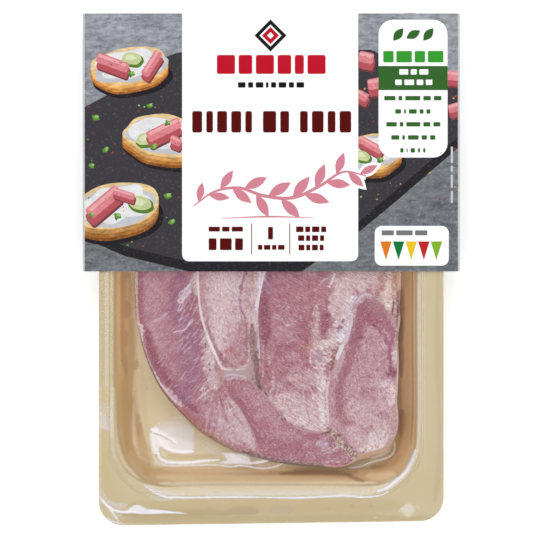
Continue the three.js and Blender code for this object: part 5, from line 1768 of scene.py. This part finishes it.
def label():
    """The white label: a lozenge, rows of blocks and a sprig"""
    fields = [(plate(182.3, 358, -20, 261.3, 7), paper, 0)]
    for grow, colour in ((3.6, paper), (0, pink_ink)):
        fields += sprig(STEM, 15, 27, grow, colour)
    fields.append((band([(222, 218.4), (270, 216.8), (314, 218)], [0.3, 0.9, 0.3]), pink_ink, 0))
    u, v = LOZENGE_CENTRE
    for size, colour in ((16, black_ink), (11, paper), (8.6, red_ink), (3.4, paper)):
        fields.append((at([(u, v - size), (u + size, v), (u, v + size), (u - size, v)]), colour, 0))
    for row in LABEL_BLOCKS:
        fields += blocks(*row)
    fields += [(plate(left, left + 0.9, 223.5, 254.5), maroon_ink, 0) for left in DIVIDERS]
    fields.append((plate(268, 273, 227, 239.5, 1), maroon_ink, 0))
    fields += blocks(258, 284.5, 245, 249.8, [2, 3, 2, 3], maroon_ink, 1.6, 0.6)
    for top, left, right in RIGHT_ROWS:
        fields += blocks(left, right, top, top + 5.6, [3, 2, 3, 2], maroon_ink, 1.8, 0.6)
    return fields


def panels():
    """The green and white panel, the panel with pennants and the marks at the edge"""
    fields = [(plate(*PANEL, 20.2, 157.8, 14.5), paper, 0)]
    fields += [(leaf((u, 35), 16, turn, 0.26), green_ink, 0) for u, turn in PANEL_LEAVES]
    fields += blocks(383, 443, 51.4, 62.8, [2, 3, 2, 3], leaf_ink, 2.8, 1.2)
    fields.append((plate(*PANEL, 66.4, 90.5), green_ink, 0))
    fields += blocks(399, 428, 69.6, 75, [3, 2, 3], paper, 2.6, 0.8)
    fields += blocks(395, 432, 80, 85.4, [2, 3, 2, 2], paper, 2.6, 0.8)
    for v, left, right in PANEL_ROWS:
        fields += blocks(left, right, v - 2.2, v + 2.2, [3, 1, 4, 2, 2], green_ink, 3, 1)
    fields.append((plate(374.5, 448.4, 226, 265.7, 7), paper, 0))
    fields += blocks(381.4, 427, 230.4, 235.4, [3, 4, 3], ink(128, 128, 128), 2.4, 0.8)
    for k, colour in enumerate(PENNANT_INKS):
        left = 380 + 12.6 * k
        fields.append((at([(left, 241.5), (left + 11.4, 241.5), (left + 5.7, 260)]), colour, 0))
    return fields + [(plate(450.4, 452.6, v, v + size), ink(214, 216, 220), 0) for v, size in EDGE_MARKS]


def print_fields():
    """The sleeve's front from the back layer on: outline, colour and how much of the stone's grain"""
    return picture() + label() + panels()


def card_material():
    """Printed card, with streaks, blotches and specks where the print shows stone"""
    shader = Shader("card_print")
    streak = shader.noise(shader.place(2.4, 0.1), 560, detail=5, rough=0.7, low=0.36, high=0.66)
    blotch = shader.noise(shader.place(2, 0.1), 90, detail=4, rough=0.6)
    speck = shader.noise(shader.place(), 900, rough=0.6, low=0.56, high=0.8)
    amount = shader.stored("grain", "Fac")
    tone = shader.stored("tone")

    def share(value, weight):
        return shader.times(shader.times(value, weight), amount)

    darker = shader.mix(1.0, tone, (0.4, 0.41, 0.45), "MULTIPLY")
    lighter = shader.mix(1.0, tone, (1.5, 1.5, 1.48), "MULTIPLY")
    colour = shader.mix(share(streak, 0.75), lighter, darker)
    colour = shader.mix(share(blotch, 0.3), colour, darker)
    colour = shader.mix(amount, tone, colour)
    shader.fill(shader.body, {
        "Base Color": shader.mix(share(speck, 0.3), colour, rgb(220, 222, 226)),
        "Roughness": 0.6,
        "Specular IOR Level": 0.06,
    })
    return shader.material


def sleeve_front(corners):
    """The printed front: its points, triangles, and a colour and grain for each triangle"""
    fields = print_fields()
    grid = np.stack(np.meshgrid(np.arange(-80, 80.5, 2.0), np.arange(0, 111, 2.0)), axis=-1).reshape(-1, 2)
    loops = [corners] + [turned(outline, True) for outline, _, _ in fields]
    plane, triangles, within, _ = triangulated(loops, grid)
    faces, tones, grains = [], [], []
    for triangle, owners in zip(triangles.tolist(), within):
        if 0 in owners:
            _, colour, grain = fields[max(max(owners), 1) - 1]
            faces.append(triangle)
            tones.append(colour)
            grains.append(grain)
    return plane, faces, tones, grains


def sleeve_side(face_number, inner):
    """The colour and grain of one long side face, with bare card at the upper creases"""
    if inner:
        return card, 0.1
    crease = face_number % ARC != ARC - 1
    if crease and ARC <= face_number < 3 * ARC:
        return between(slate, card, 0.5), 0.3
    return slate, 0.3 if crease else 1


def sleeve():
    """Makes the card tube: a printed front, long side faces and inner faces in rows, and rims at both ends"""
    outer = rounded(SLEEVE_CORNERS, SLEEVE_RADIUS, steps=ARC - 1)
    inner = rounded(SLEEVE_CORNERS, SLEEVE_RADIUS, inset=CARD, steps=ARC - 1)
    right, left = outer[FRONT, 0], outer[FRONT + 1, 0]
    corners = [(left, SLEEVE_LOW), (right, SLEEVE_LOW), (right, SLEEVE_HIGH), (left, SLEEVE_HIGH)]
    plane, faces, tones, grains = sleeve_front(np.array(corners))
    points = [np.column_stack((plane, np.full(len(plane), SLEEVE_TOP)))]
    rows = np.linspace(SLEEVE_LOW, SLEEVE_HIGH, SLEEVE_ROWS)
    count = len(outer)
    for line in (outer, inner):
        for y in rows:
            points.append(np.column_stack((line[:, 0], np.full(count, y), line[:, 1])))

    def add(quad, flip, tone, grain):
        faces.append(quad[::-1] if flip else quad)
        tones.append(tone)
        grains.append(grain)

    first = len(plane)
    lining = count * SLEEVE_ROWS
    for side in (0, 1):
        for k in range(count):
            if side == 0 and k == FRONT:
                continue
            ahead = (k + 1) % count
            tone, grain = sleeve_side(k, side == 1)
            for j in range(SLEEVE_ROWS - 1):
                a = first + side * lining + j * count
                add([a + k, a + ahead, a + count + ahead, a + count + k], side == 0, tone, grain)
    for row, flip in ((0, False), (SLEEVE_ROWS - 1, True)):
        a = first + row * count
        b = a + lining
        for k in range(count):
            ahead = (k + 1) % count
            add([a + k, b + k, b + ahead, a + ahead], flip, paper, 0)
    points = np.vstack(points)
    used = np.unique(np.concatenate(faces))
    number = np.zeros(len(points), int)
    number[used] = np.arange(len(used))
    points = points[used]
    faces = [number[face].tolist() for face in faces]
    piece = make("card_sleeve", points, faces, [card_material()], ["sleeve"], flat=True)
    sizes = [len(face) for face in faces]
    shares = np.repeat(np.array(grains, float), sizes)
    shade = 1 + shares * (between(0.84, 1.6, ramp(points[np.concatenate(faces), 1], 20, 108)) - 1)
    colours = np.ones((len(shares), 4))
    colours[:, :3] = np.repeat(np.array(tones), sizes, axis=0) * np.where(shares > 0.9, shade, 1)[:, None]
    mesh = piece.data
    mesh.color_attributes.new("tone", "FLOAT_COLOR", "CORNER").data.foreach_set("color", colours.ravel())
    mesh.attributes.new("grain", "FLOAT", "CORNER").data.foreach_set("value", shares)


# Stage, light and camera

def stage():
    """A pale floor, an even pale sky and the plain view transform"""
    mesh = bpy.data.meshes.new("floor")
    half = 4.0
    corners = [(x, y, 0) for x, y in ((-half, -half), (half, -half), (half, half), (-half, half))]
    mesh.from_pydata(corners, [], [(0, 1, 2, 3)])
    floor = bpy.data.objects.new("floor", mesh)
    bpy.context.collection.objects.link(floor)
    shader = Shader("floor_paper")
    shader.fill(shader.body, {
        "Base Color": (0.93, 0.93, 0.93),
        "Roughness": 0.9,
        "Emission Color": (1, 1, 1),
        "Emission Strength": 0.3,
    })
    mesh.materials.append(shader.material)
    world = bpy.data.worlds.new("studio")
    world.use_nodes = True
    background = world.node_tree.nodes["Background"]
    background.inputs["Color"].default_value = (0.97, 0.98, 1, 1)
    background.inputs["Strength"].default_value = 0.46
    bpy.context.scene.world = world
    bpy.context.scene.view_settings.view_transform = "Standard"


def softbox(name, place, size, power):
    """A rectangular area light turned to the pack"""
    data = bpy.data.lights.new(name, "AREA")
    data.shape = "RECTANGLE"
    data.size, data.size_y = size
    data.energy = power
    lamp = bpy.data.objects.new(name, data)
    bpy.context.collection.objects.link(lamp)
    lamp.location = place
    lamp.rotation_euler = (Vector() - Vector(place)).to_track_quat("-Z", "Y").to_euler()


# Place and size in metres, and power in watts
SOFTBOXES = {
    "softbox_top": ((0, 0.85, 1.25), (1.4, 0.6), 4.9),
    "softbox_left": ((-0.8, 0.0, 1.25), (0.5, 1.0), 5.3),
    "softbox_right": ((0.8, 0.0, 1.25), (0.5, 1.0), 4.9),
    "softbox_bottom": ((0, -0.85, 1.25), (1.2, 0.5), 2.9),
}


def lights():
    for name, (place, size, power) in SOFTBOXES.items():
        softbox(name, place, size, power)


def camera():
    """A long lens straight above the pack"""
    data = bpy.data.cameras.new("camera")
    data.lens = LENS
    data.sensor_width = SENSOR
    data.clip_end = 20
    eye = bpy.data.objects.new("camera", data)
    bpy.context.collection.objects.link(eye)
    eye.location = Vector((*at([VIEW_CENTRE])[0], LEVEL + EYE)) * MM
    bpy.context.scene.camera = eye


stage()
lights()
camera()
sheet = tray()
slice_pieces()
film(sheet)
sleeve()
